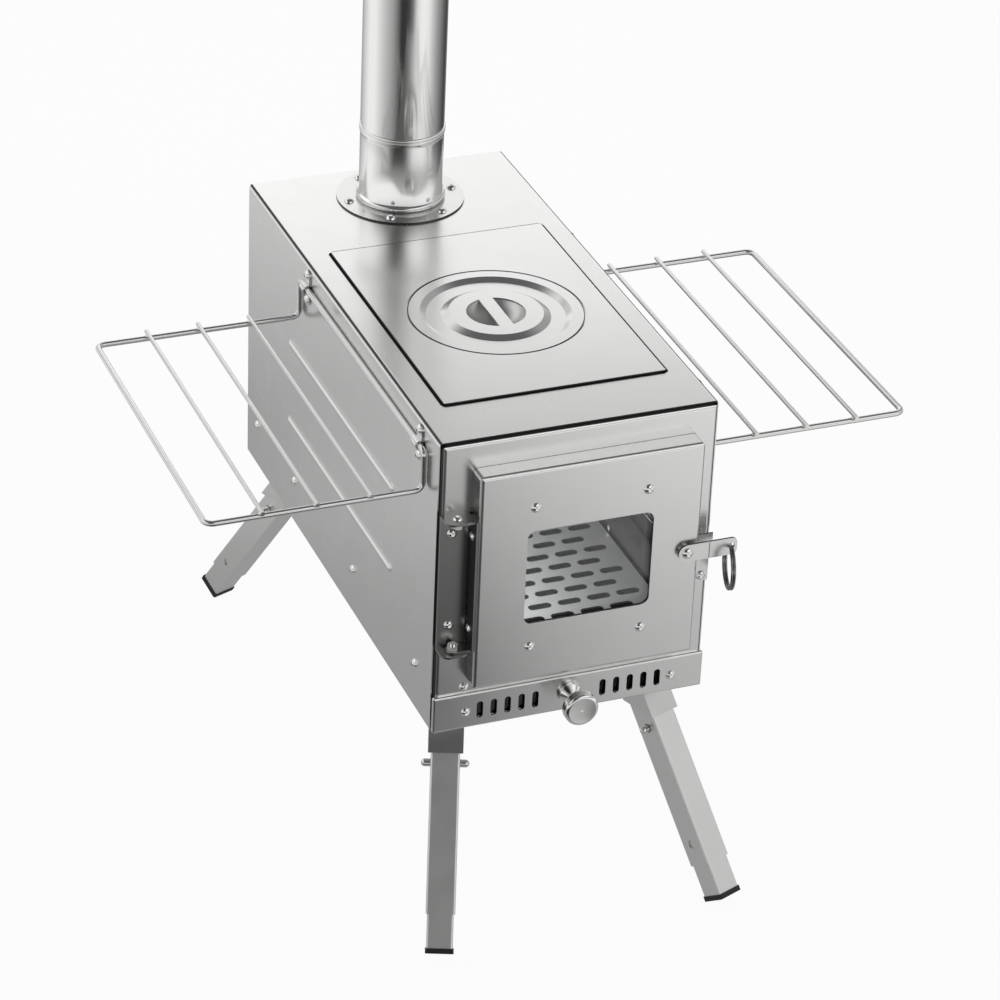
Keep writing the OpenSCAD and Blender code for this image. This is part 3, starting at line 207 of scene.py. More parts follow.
# The tent is white at its foot and grey in its skirt. Above that it is grey behind, bright on the
# left and right and black in front, and its crown is dark. Heights are in metres.
tent_radius = 6.0
tent_levels = [(-180, 0.38), (-150, 0.8), (-130, 1.2), (-100, 1.3), (-75, 1.2), (-50, 0.9),
               (-32, 0.35), (-21, 0.02), (9, 0.02), (20, 0.4), (33, 1.1), (60, 1.3), (85, 0.9),
               (110, 0.6), (135, 0.4), (160, 0.36), (180, 0.38)]
tent_foot = (0.2, 1.6)
tent_foot_level = 1.0
tent_skirt = (2.3, 2.7)
tent_skirt_level = 0.42
tent_crown = (4.0, 5.2)
tent_crown_level = 0.12
cloth, tree, out = new_material("grey_studio_tent")
cloth_place = add(tree, "ShaderNodeTexCoord")
cloth_round = round_the_stove(tree, cloth_place.outputs["Object"], tent_levels)
cloth_apart = add(tree, "ShaderNodeSeparateXYZ", {0: cloth_place.outputs["Object"]})
cloth_high = add(tree, "ShaderNodeMapRange", {
    0: cloth_apart.outputs["Z"], 1: tent_skirt[0], 2: tent_skirt[1]})
cloth_low = add(tree, "ShaderNodeMapRange", {
    0: cloth_apart.outputs["Z"], 1: tent_foot[0], 2: tent_foot[1], 3: tent_foot_level,
    4: tent_skirt_level})
cloth_mix = add(tree, "ShaderNodeMix", {
    "Factor": cloth_high.outputs[0], 4: cloth_low.outputs[0], 5: cloth_round},
                data_type="VECTOR")
cloth_top = add(tree, "ShaderNodeMapRange", {
    0: cloth_apart.outputs["Z"], 1: tent_crown[0], 2: tent_crown[1]})
cloth_all = add(tree, "ShaderNodeMix", {
    "Factor": cloth_top.outputs[0], 4: cloth_mix.outputs[1], 5: (tent_crown_level,) * 3},
                data_type="VECTOR")
cloth_light = add(tree, "ShaderNodeEmission", {"Color": cloth_all.outputs[1], "Strength": 1.0})
tree.links.new(cloth_light.outputs[0], out.inputs["Surface"])
made = bmesh.new()
bmesh.ops.create_uvsphere(made, u_segments=48, v_segments=24, radius=tent_radius)
tent = stage_mesh("studio_tent", made, cloth)
tent.visible_camera = False
tent.visible_transmission = False

# The white past the paper's end, which only the camera and glass see, through the tent.
sky_level = 0.9
world = bpy.data.worlds.new("studio")
bpy.context.scene.world = world
world.use_nodes = True
tree = world.node_tree
tree.nodes.clear()
world_out = add(tree, "ShaderNodeOutputWorld")
sky_plain = add(tree, "ShaderNodeBackground", {"Color": (sky_level,) * 3 + (1,),
                                               "Strength": 1.0})
sky_white = add(tree, "ShaderNodeBackground", {"Color": (1, 1, 1, 1), "Strength": 1.0})
sky_mix = add(tree, "ShaderNodeMixShader", {
    0: seen_directly(tree), 1: sky_plain.outputs[0], 2: sky_white.outputs[0]})
tree.links.new(sky_mix.outputs[0], world_out.inputs["Surface"])


def softbox(name, place, target, width, height, power):
    """A rectangular soft lamp that points at a target and doesn't show itself."""
    lamp_data = bpy.data.lights.new(name, "AREA")
    lamp_data.shape = "RECTANGLE"
    lamp_data.size = width
    lamp_data.size_y = height
    lamp_data.energy = power
    lamp = bpy.data.objects.new(name, lamp_data)
    bpy.context.scene.collection.objects.link(lamp)
    aim = (Vector(target) - Vector(place)).to_track_quat("-Z", "Y")
    lamp.matrix_world = Matrix.Translation(place) @ aim.to_matrix().to_4x4()
    lamp.visible_camera = False


# The lamp behind gives the top its pale sheen. The other hangs under the hatch over the grate.
softbox("back_softbox", place=(0.42, 1.3, 0.88), target=(0, 0.1, 0.37), width=1.2, height=0.6,
        power=1.85)
softbox("firebox_softbox", place=(0.02, 0.05, 0.345), target=(0.02, 0.05, 0.18), width=0.15,
        height=0.25, power=0.25)

# Firebox
# Cold-rolled 304 stainless sheet with a satin grain, punched and folded, then screwed and spot
# welded together. The faces inside the firebox are painted dark grey and made rough, as painted
# shade.
leg_ends = ("fl", "fr", "bl", "br")
satin_colour = "#E9E9E8"
satin_blur = 0.26
satin_blur_swing = 0.02
satin_tone = (0.975, 1.0)
grain_width = 0.0006
grain_length = 0.045
grain_share = 0.6
grain_depth = 0.00002
mottle_size = 0.022
pattern_range = (0.5, 1.1)
# The space inside the folded shell, out to between the two faces of its sheet.
inside_centre = (0.0, 0.0, 0.26415)
inside_half = (0.0973, 0.1992, 0.10965)
# Painted shade: the colour and roughness given to faces inside the firebox and to dark edges and
# rims.
painted_shade_colour = "#4E4E4C"
painted_shade_blur = 0.42


def past_box(tree, place, centre, half):
    """How far a point lies past a box along each axis, less than 0 inside it."""
    off = add(tree, "ShaderNodeVectorMath", {0: place, 1: centre}, operation="SUBTRACT")
    way = add(tree, "ShaderNodeVectorMath", {0: off.outputs[0]}, operation="ABSOLUTE")
    past = add(tree, "ShaderNodeVectorMath", {0: way.outputs[0], 1: half}, operation="SUBTRACT")
    return add(tree, "ShaderNodeSeparateXYZ", {0: past.outputs[0]}).outputs


def satin_sheet(name, along, colour=satin_colour, blur=satin_blur, cut_face=None, rim=None,
                shade_box_centre=inside_centre, shade_box_half=inside_half):
    """Cold-rolled stainless whose fine grain runs along one axis, so it mirrors softly, like silk.
    The real grain is about 0.1 mm wide and is drawn coarser so that it shows. Faces inside a box,
    such as the firebox, get painted shade, dark and rough. So do the edges where cut_face gives the
    axis that the sheet faces, and a rim where rim gives a plate's lowest and highest corner and the
    rim's width."""
    material, tree, out = new_material(name)
    place = add(tree, "ShaderNodeTexCoord")
    stretch = [1 / grain_width] * 3
    stretch[along] = 1 / grain_length
    grain_place = add(tree, "ShaderNodeMapping", {"Vector": place.outputs["Object"],
                                                  "Scale": stretch})
    grain = add(tree, "ShaderNodeTexNoise", {"Vector": grain_place.outputs[0], "Scale": 1.0,
                                             "Detail": 3.0, "Roughness": 0.6})
    mottle = add(tree, "ShaderNodeTexNoise", {"Vector": place.outputs["Object"],
                                              "Scale": 1 / mottle_size, "Detail": 3.0})
    both = add(tree, "ShaderNodeMath", {0: grain.outputs[0], 1: grain_share,
                                        2: mottle.outputs[0]}, operation="MULTIPLY_ADD")
    level = add(tree, "ShaderNodeMapRange", {
        0: both.outputs[0], 1: pattern_range[0], 2: pattern_range[1],
        3: blur - satin_blur_swing, 4: blur + satin_blur_swing})
    tone = add(tree, "ShaderNodeMapRange", {
        0: both.outputs[0], 1: pattern_range[0], 2: pattern_range[1],
        3: satin_tone[0], 4: satin_tone[1]})
    # Faces inside the box are painted dark, as painted shade.
    past = past_box(tree, place.outputs["Object"], shade_box_centre, shade_box_half)
    past_side = add(tree, "ShaderNodeMath", {0: past[0], 1: past[1]}, operation="MAXIMUM")
    past_any = add(tree, "ShaderNodeMath", {0: past_side.outputs[0], 1: past[2]},
                   operation="MAXIMUM")
    dull = add(tree, "ShaderNodeMath", {0: past_any.outputs[0], 1: 0.0}, operation="LESS_THAN")
    # Edges across the sheet are painted dark, as painted shade.
    if cut_face is not None:
        facing = add(tree, "ShaderNodeSeparateXYZ", {0: place.outputs["Normal"]})
        square_on = add(tree, "ShaderNodeMath", {0: facing.outputs[cut_face]}, operation="ABSOLUTE")
        cut = add(tree, "ShaderNodeMath", {0: square_on.outputs[0], 1: 0.5}, operation="LESS_THAN")
        dull = add(tree, "ShaderNodeMath", {0: dull.outputs[0], 1: cut.outputs[0]},
                   operation="MAXIMUM")
    # A rim round the plate's edge is painted dark, as painted shade.
    if rim is not None:
        low, high, width = rim
        plate_past = past_box(tree, place.outputs["Object"], (low + high) / 2,
                              (high - low) / 2 - Vector((width,) * 3))
        plate_any = add(tree, "ShaderNodeMath", {0: plate_past[0], 1: plate_past[1]},
                        operation="MAXIMUM")
        plate_rim = add(tree, "ShaderNodeMath", {0: plate_any.outputs[0], 1: 0.0},
                        operation="GREATER_THAN")
        dull = add(tree, "ShaderNodeMath", {0: dull.outputs[0], 1: plate_rim.outputs[0]},
                   operation="MAXIMUM")
    shade = add(tree, "ShaderNodeVectorMath", {0: linear(colour)[:3], "Scale": tone.outputs[0]},
                operation="SCALE")
    shade_mix = add(tree, "ShaderNodeMix", {"Factor": dull.outputs[0], 4: shade.outputs[0],
                                       5: linear(painted_shade_colour)[:3]}, data_type="VECTOR")
    soft = add(tree, "ShaderNodeMix", {"Factor": dull.outputs[0], 2: level.outputs[0],
                                       3: painted_shade_blur}, data_type="FLOAT")
    relief = add(tree, "ShaderNodeBump", {"Height": grain.outputs[0], "Strength": 0.04,
                                          "Distance": grain_depth})
    steel = add(tree, "ShaderNodeBsdfPrincipled", {
        "Base Color": shade_mix.outputs[1], "Metallic": 1.0, "Roughness": soft.outputs[0],
        "Normal": relief.outputs[0]})
    tree.links.new(steel.outputs[0], out.inputs["Surface"])
    return material


def finish(material, *nodes):
    """Gives CAD nodes their material."""
    for name in nodes:
        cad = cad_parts[name].data
        cad.materials.clear()
        cad.materials.append(material)


shell_steel = satin_sheet("satin_rolled_stainless_sheet", along=1)
front_steel = satin_sheet("satin_rolled_stainless_front", along=0)
finish(shell_steel, "side_wall_l", "side_wall_r", "top_front", "top_rear", "top_left", "top_right",
       "top_corners", "bottom_pan", "hatch_seat", "rack_clips",
       *["leg_bracket_" + end for end in leg_ends])
finish(front_steel, "front_frame", "rear_panel", "vent_panel")

# Hob hatch and lid
# The hatch plate, punched from stainless sheet, lifts out of a rebate in the top. A spun lid closes
# its round hole, with two half-moon holes for the lifting tool and a small cup welded under them.
# A thin rim round the hatch plate is painted dark, as painted shade of the gap round it.
hatch_shade_rim = 0.0007
hatch_steel = satin_sheet("satin_rolled_stainless_plate", along=1, blur=0.25,
                          rim=(*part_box("hatch_plate"), hatch_shade_rim))
finish(hatch_steel, "hatch_plate")

# Spinning leaves fine rings round the lid's middle, which break up its highlight. Real ones are
# about 0.2 mm apart and are drawn coarser so that they show.
lid_colour = "#E6E6E5"
lid_blur = (0.20, 0.27)
lid_ring_pitch = 0.0009
lid_ring_depth = 0.00002
lid_shade_width = 0.0007
lid_steel, tree, out = new_material("spun_stainless_lid")
lid_place = add(tree, "ShaderNodeTexCoord")
lid_low, lid_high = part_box("hob_lid")
lid_middle = (lid_low + lid_high) / 2
lid_centred = add(tree, "ShaderNodeMapping", {"Vector": lid_place.outputs["Object"],
                                              "Location": -lid_middle})
lid_flat = add(tree, "ShaderNodeVectorMath", {0: lid_centred.outputs[0], 1: (1, 1, 0)},
               operation="MULTIPLY")
lid_way = add(tree, "ShaderNodeVectorMath", {0: lid_flat.outputs[0]}, operation="LENGTH")
lid_rings = add(tree, "ShaderNodeTexNoise", {"W": add(
    tree, "ShaderNodeMath", {0: lid_way.outputs["Value"], 1: 1 / lid_ring_pitch},
    operation="MULTIPLY").outputs[0], "Scale": 1.0, "Detail": 2.0}, noise_dimensions="1D")
lid_level = add(tree, "ShaderNodeMapRange", {0: lid_rings.outputs[0], 3: lid_blur[0],
                                             4: lid_blur[1]})
lid_relief = add(tree, "ShaderNodeBump", {"Height": lid_rings.outputs[0], "Strength": 0.1,
                                          "Distance": lid_ring_depth})
# A thin ring at the lid's edge is painted dark, as painted shade of the gap round it.
lid_shade_edge = add(tree, "ShaderNodeMath", {
    0: lid_way.outputs["Value"], 1: (lid_high.x - lid_low.x) / 2 - lid_shade_width},
               operation="GREATER_THAN")
lid_shade_mix = add(tree, "ShaderNodeMix", {
    "Factor": lid_shade_edge.outputs[0], 4: linear(lid_colour)[:3], 5: linear(painted_shade_colour)[:3]},
               data_type="VECTOR")
lid_shine = add(tree, "ShaderNodeBsdfPrincipled", {
    "Base Color": lid_shade_mix.outputs[1], "Metallic": 1.0, "Roughness": lid_level.outputs[0],
    "Normal": lid_relief.outputs[0]})
tree.links.new(lid_shine.outputs[0], out.inputs["Surface"])
finish(lid_steel, "hob_lid")

# Grate
# A slotted plate of mill-finish stainless sheet, punched and folded down at its sides. The mill
# leaves it pale and matt, in faint patches about 12 mm across.
def marked_steel(name, colour, mark_size, detail, blur, tone=None):
    """Steel with marks about mark_size apart. blur is its roughness between them and on them, and
    tone, where it is given, is the share of its colour there."""
    material, tree, out = new_material(name)
    place = add(tree, "ShaderNodeTexCoord")
    marks = add(tree, "ShaderNodeTexNoise", {"Vector": place.outputs["Object"],
                                             "Scale": 1 / mark_size, "Detail": detail})
    level = add(tree, "ShaderNodeMapRange", {0: marks.outputs[0], 3: blur[0], 4: blur[1]})
    shade = linear(colour)
    if tone is not None:
        share = add(tree, "ShaderNodeMapRange", {0: marks.outputs[0], 3: tone[0], 4: tone[1]})
        shade = add(tree, "ShaderNodeVectorMath", {0: shade[:3], "Scale": share.outputs[0]},
                    operation="SCALE").outputs[0]
    steel = add(tree, "ShaderNodeBsdfPrincipled", {
        "Base Color": shade, "Metallic": 1.0, "Roughness": level.outputs[0]})
    tree.links.new(steel.outputs[0], out.inputs["Surface"])
    return material


mill_steel = marked_steel("mill_finish_stainless_sheet", "#D9D9D8", mark_size=0.012, detail=4.0,
                          blur=(0.34, 0.44), tone=(0.92, 1.0))
finish(mill_steel, "fire_grate", "lid_cup")

# Damper
# A slotted steel slide behind the air slots, with a turned and polished knob in front, which is
# finished with the flue. The slide is dark grey and matt, so the slots look dark and matt.
black_steel = marked_steel("dark_grey_steel_sheet", "#3A3A3C", mark_size=0.006, detail=4.0,
                           blur=(0.4, 0.6), tone=(0.6, 1.0))
finish(black_steel, "damper_plate")

# Flue
# A collar and a pipe section, rolled from thin sheet, welded along the back and polished. The
# collar has a swaged bead at its foot and a rolled lip over a groove at its top, and a ring of
# spot welds low down holds it to the neck inside.
flange_low, flange_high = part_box("flue_flange")
flue_foot = (0.0, (flange_low.y + flange_high.y) / 2, flange_low.z)

# Polishing leaves a clear mirror that waves a little with the thin sheet. Its marks are about
# 0.1 mm wide and are drawn coarser so that they show. The weld down the back is matt.
polished_colour = "#EDEDEC"
polished_blur = (0.09, 0.13)
polished_mark_size = 0.0015
wave_size = 0.035
wave_depth = 0.0002
seam_half = 0.0008
seam_blur = 0.25
seam_behind = flue_foot[1] + 0.002
polished, tree, out = new_material("polished_stainless_tube")
tube_place = add(tree, "ShaderNodeTexCoord")
tube_wave = add(tree, "ShaderNodeTexNoise", {"Vector": tube_place.outputs["Object"],
                                             "Scale": 1 / wave_size, "Detail": 2.0})
tube_marks = add(tree, "ShaderNodeTexNoise", {"Vector": tube_place.outputs["Object"],
                                              "Scale": 1 / polished_mark_size, "Detail": 3.0})
tube_level = add(tree, "ShaderNodeMapRange", {0: tube_marks.outputs[0], 3: polished_blur[0],
                                              4: polished_blur[1]})
tube_apart = add(tree, "ShaderNodeSeparateXYZ", {0: tube_place.outputs["Object"]})
tube_side = add(tree, "ShaderNodeMath", {0: tube_apart.outputs["X"]}, operation="ABSOLUTE")
tube_seam = add(tree, "ShaderNodeMath", {0: tube_side.outputs[0], 1: seam_half},
                operation="LESS_THAN")
tube_back = add(tree, "ShaderNodeMath", {0: tube_apart.outputs["Y"], 1: seam_behind},
                operation="GREATER_THAN")
tube_weld = add(tree, "ShaderNodeMath", {0: tube_seam.outputs[0], 1: tube_back.outputs[0]},
                operation="MULTIPLY")
tube_blur = add(tree, "ShaderNodeMath", {0: tube_weld.outputs[0], 1: seam_blur,
                                         2: tube_level.outputs[0]}, operation="MULTIPLY_ADD")
tube_relief = add(tree, "ShaderNodeBump", {"Height": tube_wave.outputs[0], "Strength": 0.25,
                                           "Distance": wave_depth})
tube_shine = add(tree, "ShaderNodeBsdfPrincipled", {
    "Base Color": linear(polished_colour), "Metallic": 1.0, "Roughness": tube_blur.outputs[0],
    "Normal": tube_relief.outputs[0]})
tree.links.new(tube_shine.outputs[0], out.inputs["Surface"])
finish(polished, "flue_pipe", "damper_knob")


def finished_mesh(name, data):
    """An object whose mesh holds its place, with its faces turned outwards."""
    made = bmesh.new()
    made.from_mesh(data)
    bmesh.ops.remove_doubles(made, verts=made.verts, dist=1e-6)
    bmesh.ops.recalc_face_normals(made, faces=made.faces)
    for face in made.faces:
        face.smooth = True
    made.to_mesh(data)
    made.free()
    thing = bpy.data.objects.new(name, data)
    bpy.context.scene.collection.objects.link(thing)
    return thing


def turned(name, outline, place, sides, material, sharp):
    """A closed shape turned round an upright axis. outline is its radii and heights in mm, and
    edges that bend by more than sharp degrees stay crisp."""
    made = bmesh.new()
    rings = []
    for radius, height in outline:
        rings.append([made.verts.new((
            place[0] + radius / 1000 * math.cos(math.tau * k / sides),
            place[1] + radius / 1000 * math.sin(math.tau * k / sides),
            place[2] + height / 1000)) for k in range(sides)])
    for here, there in zip(rings, rings[1:] + rings[:1]):
        for k in range(sides):
            made.faces.new((here[k], here[k - 1], there[k - 1], there[k]))
    data = bpy.data.meshes.new(name)
    made.to_mesh(data)
    made.free()
    data.materials.append(material)
    thing = finished_mesh(name, data)
    data.set_sharp_from_angle(angle=math.radians(sharp))
    return thing


def grown(name, tree, sizes, material):
    """A plain mesh made by a Geometry Nodes tree. sizes are its named inputs."""
    start = bpy.data.objects.new(name, bpy.data.meshes.new(name))
    bpy.context.scene.collection.objects.link(start)
    nodes = start.modifiers.new("grow", "NODES")
    nodes.node_group = tree
    for socket in tree.interface.items_tree:
        if socket.in_out == "INPUT" and socket.name in sizes:
            nodes[socket.identifier] = sizes[socket.name]
    view = bpy.context.evaluated_depsgraph_get()
    data = bpy.data.meshes.new_from_object(start.evaluated_get(view))
    bpy.data.objects.remove(start)
    data.name = name
    data.materials.clear()
    data.materials.append(material)
    return finished_mesh(name, data)


def new_growth(name, sizes):
    """A Geometry Nodes tree with named inputs, its input node and its output node."""
    tree = bpy.data.node_groups.new(name, "GeometryNodeTree")
    for label, kind, value in sizes:
        made = tree.interface.new_socket(name=label, in_out="INPUT",
                                         socket_type="NodeSocket" + kind)
        made.default_value = value
    tree.interface.new_socket(name="Mesh", in_out="OUTPUT", socket_type="NodeSocketGeometry")
    return tree, add(tree, "NodeGroupInput"), add(tree, "NodeGroupOutput")


def close_growth(tree, out, shape, material):
    """Ends a tree in real geometry with its material."""
    real = add(tree, "GeometryNodeRealizeInstances", {"Geometry": shape})
    coated = add(tree, "GeometryNodeSetMaterial", {"Geometry": real.outputs[0],
                                                   "Material": material})
    tree.links.new(coated.outputs[0], out.inputs[0])


# The flange's cut edges are painted dark, as painted shade.
flange_steel = satin_sheet("laser_cut_stainless_flange_painted_edge_shade", along=1, colour="#DCDCDB", blur=0.22,
                           cut_face=2)
finish(flange_steel, "flue_flange")
# The collar's radii and heights above its foot in millimetres: neck, bead, wall, groove and lip.
collar_outline = [(29.2, -10.0), (30.0, -10.0), (30.0, 1.2), (31.3, 1.4), (32.0, 2.2), (32.2, 3.4),
                  (32.0, 4.6), (31.3, 5.4), (30.3, 5.9), (30.0, 6.4), (30.0, 50.5), (30.2, 52.0),
                  (30.6, 53.6), (30.85, 54.8), (30.7, 55.2), (30.3, 55.4), (30.3, 55.8),
                  (30.6, 56.0), (30.9, 56.4), (30.85, 57.2), (30.5, 57.8), (30.2, 58.0),
                  (29.2, 58.0)]
collar = turned("flue_collar_turned", collar_outline, flue_foot, sides=128, material=polished,
                sharp=50)
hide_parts("flue_collar")
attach(collar, "firebox")

# Each spot weld is a low round button on the collar, wide across and barely proud of it.
weld_count = 7
weld_turn = math.radians(front_left - 8.0)
weld_radius = 0.0301
weld_height = 0.0086
weld_wide = 0.0017
weld_deep = 0.0004
tree, given, out = new_growth("spot_weld_ring", [
    ("Count", "Int", weld_count), ("Turn", "Float", weld_turn), ("Ring", "Float", weld_radius),
    ("Height", "Float", weld_height), ("Wide", "Float", weld_wide), ("Deep", "Float", weld_deep)])
weld_line = add(tree, "GeometryNodeMeshLine", {"Count": given.outputs["Count"]})
weld_number = add(tree, "GeometryNodeInputIndex")
weld_step = add(tree, "ShaderNodeMath", {0: math.tau, 1: given.outputs["Count"]},
                operation="DIVIDE")
weld_angle = add(tree, "ShaderNodeMath", {0: weld_number.outputs[0], 1: weld_step.outputs[0],
                                          2: given.outputs["Turn"]}, operation="MULTIPLY_ADD")
weld_round = add(tree, "ShaderNodeCombineXYZ", {"Z": weld_angle.outputs[0]})
weld_start = add(tree, "ShaderNodeCombineXYZ", {"X": given.outputs["Ring"],
                                                "Z": given.outputs["Height"]})
weld_place = add(tree, "ShaderNodeVectorRotate", {
    "Vector": weld_start.outputs[0], "Angle": weld_angle.outputs[0]}, rotation_type="Z_AXIS")
weld_points = add(tree, "GeometryNodeSetPosition", {
    "Geometry": weld_line.outputs[0], "Position": weld_place.outputs[0]})
weld_ball = add(tree, "GeometryNodeMeshUVSphere", {"Segments": 20, "Rings": 12, "Radius": 1.0})
weld_size = add(tree, "ShaderNodeCombineXYZ", {
    "X": given.outputs["Deep"], "Y": given.outputs["Wide"], "Z": given.outputs["Wide"]})
weld_button = add(tree, "GeometryNodeTransform", {"Geometry": weld_ball.outputs[0],
                                                  "Scale": weld_size.outputs[0]})
weld_all = add(tree, "GeometryNodeInstanceOnPoints", {
    "Points": weld_points.outputs[0], "Instance": weld_button.outputs[0],
    "Rotation": weld_round.outputs[0]})
weld_there = add(tree, "GeometryNodeTransform", {
    "Geometry": weld_all.outputs[0], "Translation": flue_foot})
close_growth(tree, out, weld_there.outputs[0], polished)
welds = grown("collar_spot_welds", tree, {"Count": weld_count, "Turn": weld_turn}, polished)
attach(welds, "firebox")

# Door and hinge
# A folded stainless door pan with a window, riveted to a leaf that turns between the ears of a
# screwed-on bracket. Behind the window lie a pane, a woven seal and a screwed frame. The window's
# cut edge, in a box just behind the door's face and a little past the window, is painted dark, as
# painted shade.
window_wide = 0.0895
window_high = 0.0715
cut_margin = 0.00035
cut_start = 0.0001
cut_depth = 0.0036
door_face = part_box("door_panel")[0].y
pane_low, pane_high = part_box("window_glass")
pane_middle = (pane_low + pane_high) / 2
door_steel = satin_sheet(
    "satin_rolled_stainless_door", along=0,
    shade_box_centre=(pane_middle.x, door_face + cut_start + cut_depth / 2, pane_middle.z),
    shade_box_half=(window_wide / 2 + cut_margin, cut_depth / 2, window_high / 2 + cut_margin))
finish(door_steel, "door_panel")
finish(front_steel, "glass_frame")

# The hinge is painted a darker grey than the door, as painted shade beside the door, and made
# duller.
shaded_hinge_steel = satin_sheet("stainless_hinge_painted_shade", along=2, colour="#949493", blur=0.3)
finish(shaded_hinge_steel, "hinge_bracket", "hinge_leaf")

# Borosilicate glass, flat and clear, with a very faint green tint.
glass, tree, out = new_material("heat_resistant_glass")
clear = add(tree, "ShaderNodeBsdfPrincipled", {
    "Base Color": linear("#F0F4F3"), "Roughness": 0.02, "Transmission Weight": 1.0, "IOR": 1.47})
tree.links.new(clear.outputs[0], out.inputs["Surface"])
finish(glass, "window_glass")

# Yarn about 1.2 mm thick, woven and darkened by graphite, so it is rough and nearly black.
seal_yarn = 0.0012
seal_colour = "#2E2C29"
seal_tone_range = (1.0, 0.5)
seal_depth = 0.0003
seal_tape, tree, out = new_material("woven_glass_fibre_tape")
seal_place = add(tree, "ShaderNodeTexCoord")
seal_weave = add(tree, "ShaderNodeTexVoronoi", {"Vector": seal_place.outputs["Object"],
                                                "Scale": 1 / seal_yarn})
seal_tone = add(tree, "ShaderNodeMapRange", {0: seal_weave.outputs[0], 3: seal_tone_range[0],
                                             4: seal_tone_range[1]})
seal_shade = add(tree, "ShaderNodeVectorMath", {0: linear(seal_colour)[:3],
                                                "Scale": seal_tone.outputs[0]}, operation="SCALE")
seal_relief = add(tree, "ShaderNodeBump", {"Height": seal_weave.outputs[0], "Strength": 0.6,
                                           "Distance": seal_depth})
seal = add(tree, "ShaderNodeBsdfPrincipled", {
    "Base Color": seal_shade.outputs[0], "Roughness": 0.85, "Normal": seal_relief.outputs[0]})
tree.links.new(seal.outputs[0], out.inputs["Surface"])
finish(seal_tape, "window_gasket")

# Latch
# A pivoting bar with a crease rests on a stepped keeper, both cut by laser from stainless sheet.
# A split ring, two turns of blued spring wire, hangs in the bar's hole to pull it by.
# The cut edges of the bar and keeper are painted dark, as painted shade.
edge_shaded_steel = satin_sheet("laser_cut_stainless_bar_painted_edge_shade", along=0, colour="#ECECEB", blur=0.24, cut_face=1)
finish(edge_shaded_steel, "latch_bar", "latch_keeper")

# Blueing leaves the hard wire shiny but half as pale as stainless. Its draw marks are finer than
# a millimetre and are drawn coarser so that they show.
blue_steel = marked_steel("blued_spring_wire", "#8A8A8C", mark_size=0.001, detail=2.0,
                          blur=(0.12, 0.22), tone=(0.85, 1.0))

# The wire crosses from one turn to the other within ring_jog of its middle. Each turn lies
# ring_off to its own side, and ring_turn turns the ring out of the stove's side plane.
ring_turns = 2
ring_points = 145
ring_radius = 0.0155
ring_wire = 0.0009
ring_off = 0.00085
ring_jog = math.radians(30)
ring_turn = math.radians(-13.7)
tree, given, out = new_growth("two_turn_split_ring", [
    ("Radius", "Float", ring_radius), ("Wire", "Float", ring_wire), ("Off", "Float", ring_off),
    ("Jog", "Float", ring_jog), ("Turn", "Float", ring_turn), ("Centre", "Vector", (0, 0, 0))])
ring_line = add(tree, "GeometryNodeCurvePrimitiveLine")
ring_fine = add(tree, "GeometryNodeResampleCurve", {"Curve": ring_line.outputs[0],
                                                    "Count": ring_points})
ring_along = add(tree, "GeometryNodeSplineParameter")
ring_angle = add(tree, "ShaderNodeMath", {0: ring_along.outputs["Factor"],
                                          1: ring_turns * math.tau}, operation="MULTIPLY")
ring_early = add(tree, "ShaderNodeMath", {0: math.tau, 1: given.outputs["Jog"]},
                 operation="SUBTRACT")
ring_late = add(tree, "ShaderNodeMath", {0: math.tau, 1: given.outputs["Jog"]}, operation="ADD")
ring_less = add(tree, "ShaderNodeMath", {0: given.outputs["Off"], 1: -1.0}, operation="MULTIPLY")
ring_step = add(tree, "ShaderNodeMapRange", {
    0: ring_angle.outputs[0], 1: ring_early.outputs[0], 2: ring_late.outputs[0],
    3: ring_less.outputs[0], 4: given.outputs["Off"]}, interpolation_type="SMOOTHSTEP")
ring_high = add(tree, "ShaderNodeMath", {0: ring_angle.outputs[0]}, operation="COSINE")
ring_deep = add(tree, "ShaderNodeMath", {0: ring_angle.outputs[0]}, operation="SINE")
ring_flat = add(tree, "ShaderNodeCombineXYZ", {"Y": ring_deep.outputs[0],
                                               "Z": ring_high.outputs[0]})
ring_wide = add(tree, "ShaderNodeVectorMath", {0: ring_flat.outputs[0],
                                               "Scale": given.outputs["Radius"]}, operation="SCALE")
ring_side = add(tree, "ShaderNodeCombineXYZ", {"X": ring_step.outputs[0]})
ring_both = add(tree, "ShaderNodeVectorMath", {0: ring_wide.outputs[0], 1: ring_side.outputs[0]},
                operation="ADD")
ring_turned = add(tree, "ShaderNodeVectorRotate", {
    "Vector": ring_both.outputs[0], "Angle": given.outputs["Turn"]}, rotation_type="Z_AXIS")
ring_there = add(tree, "ShaderNodeVectorMath", {0: ring_turned.outputs[0],
                                                1: given.outputs["Centre"]}, operation="ADD")
ring_path = add(tree, "GeometryNodeSetPosition", {
    "Geometry": ring_fine.outputs[0], "Position": ring_there.outputs[0]})
ring_round = add(tree, "GeometryNodeCurvePrimitiveCircle", {
    "Resolution": 16, "Radius": given.outputs["Wire"]})
ring_body = add(tree, "GeometryNodeCurveToMesh", {
    "Curve": ring_path.outputs[0], "Profile Curve": ring_round.outputs[0], "Fill Caps": True})
close_growth(tree, out, ring_body.outputs[0], blue_steel)
ring_low, ring_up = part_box("latch_ring")
ring = grown("latch_split_ring", tree, {"Centre": (ring_low + ring_up) / 2}, blue_steel)
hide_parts("latch_ring")
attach(ring, "ring")

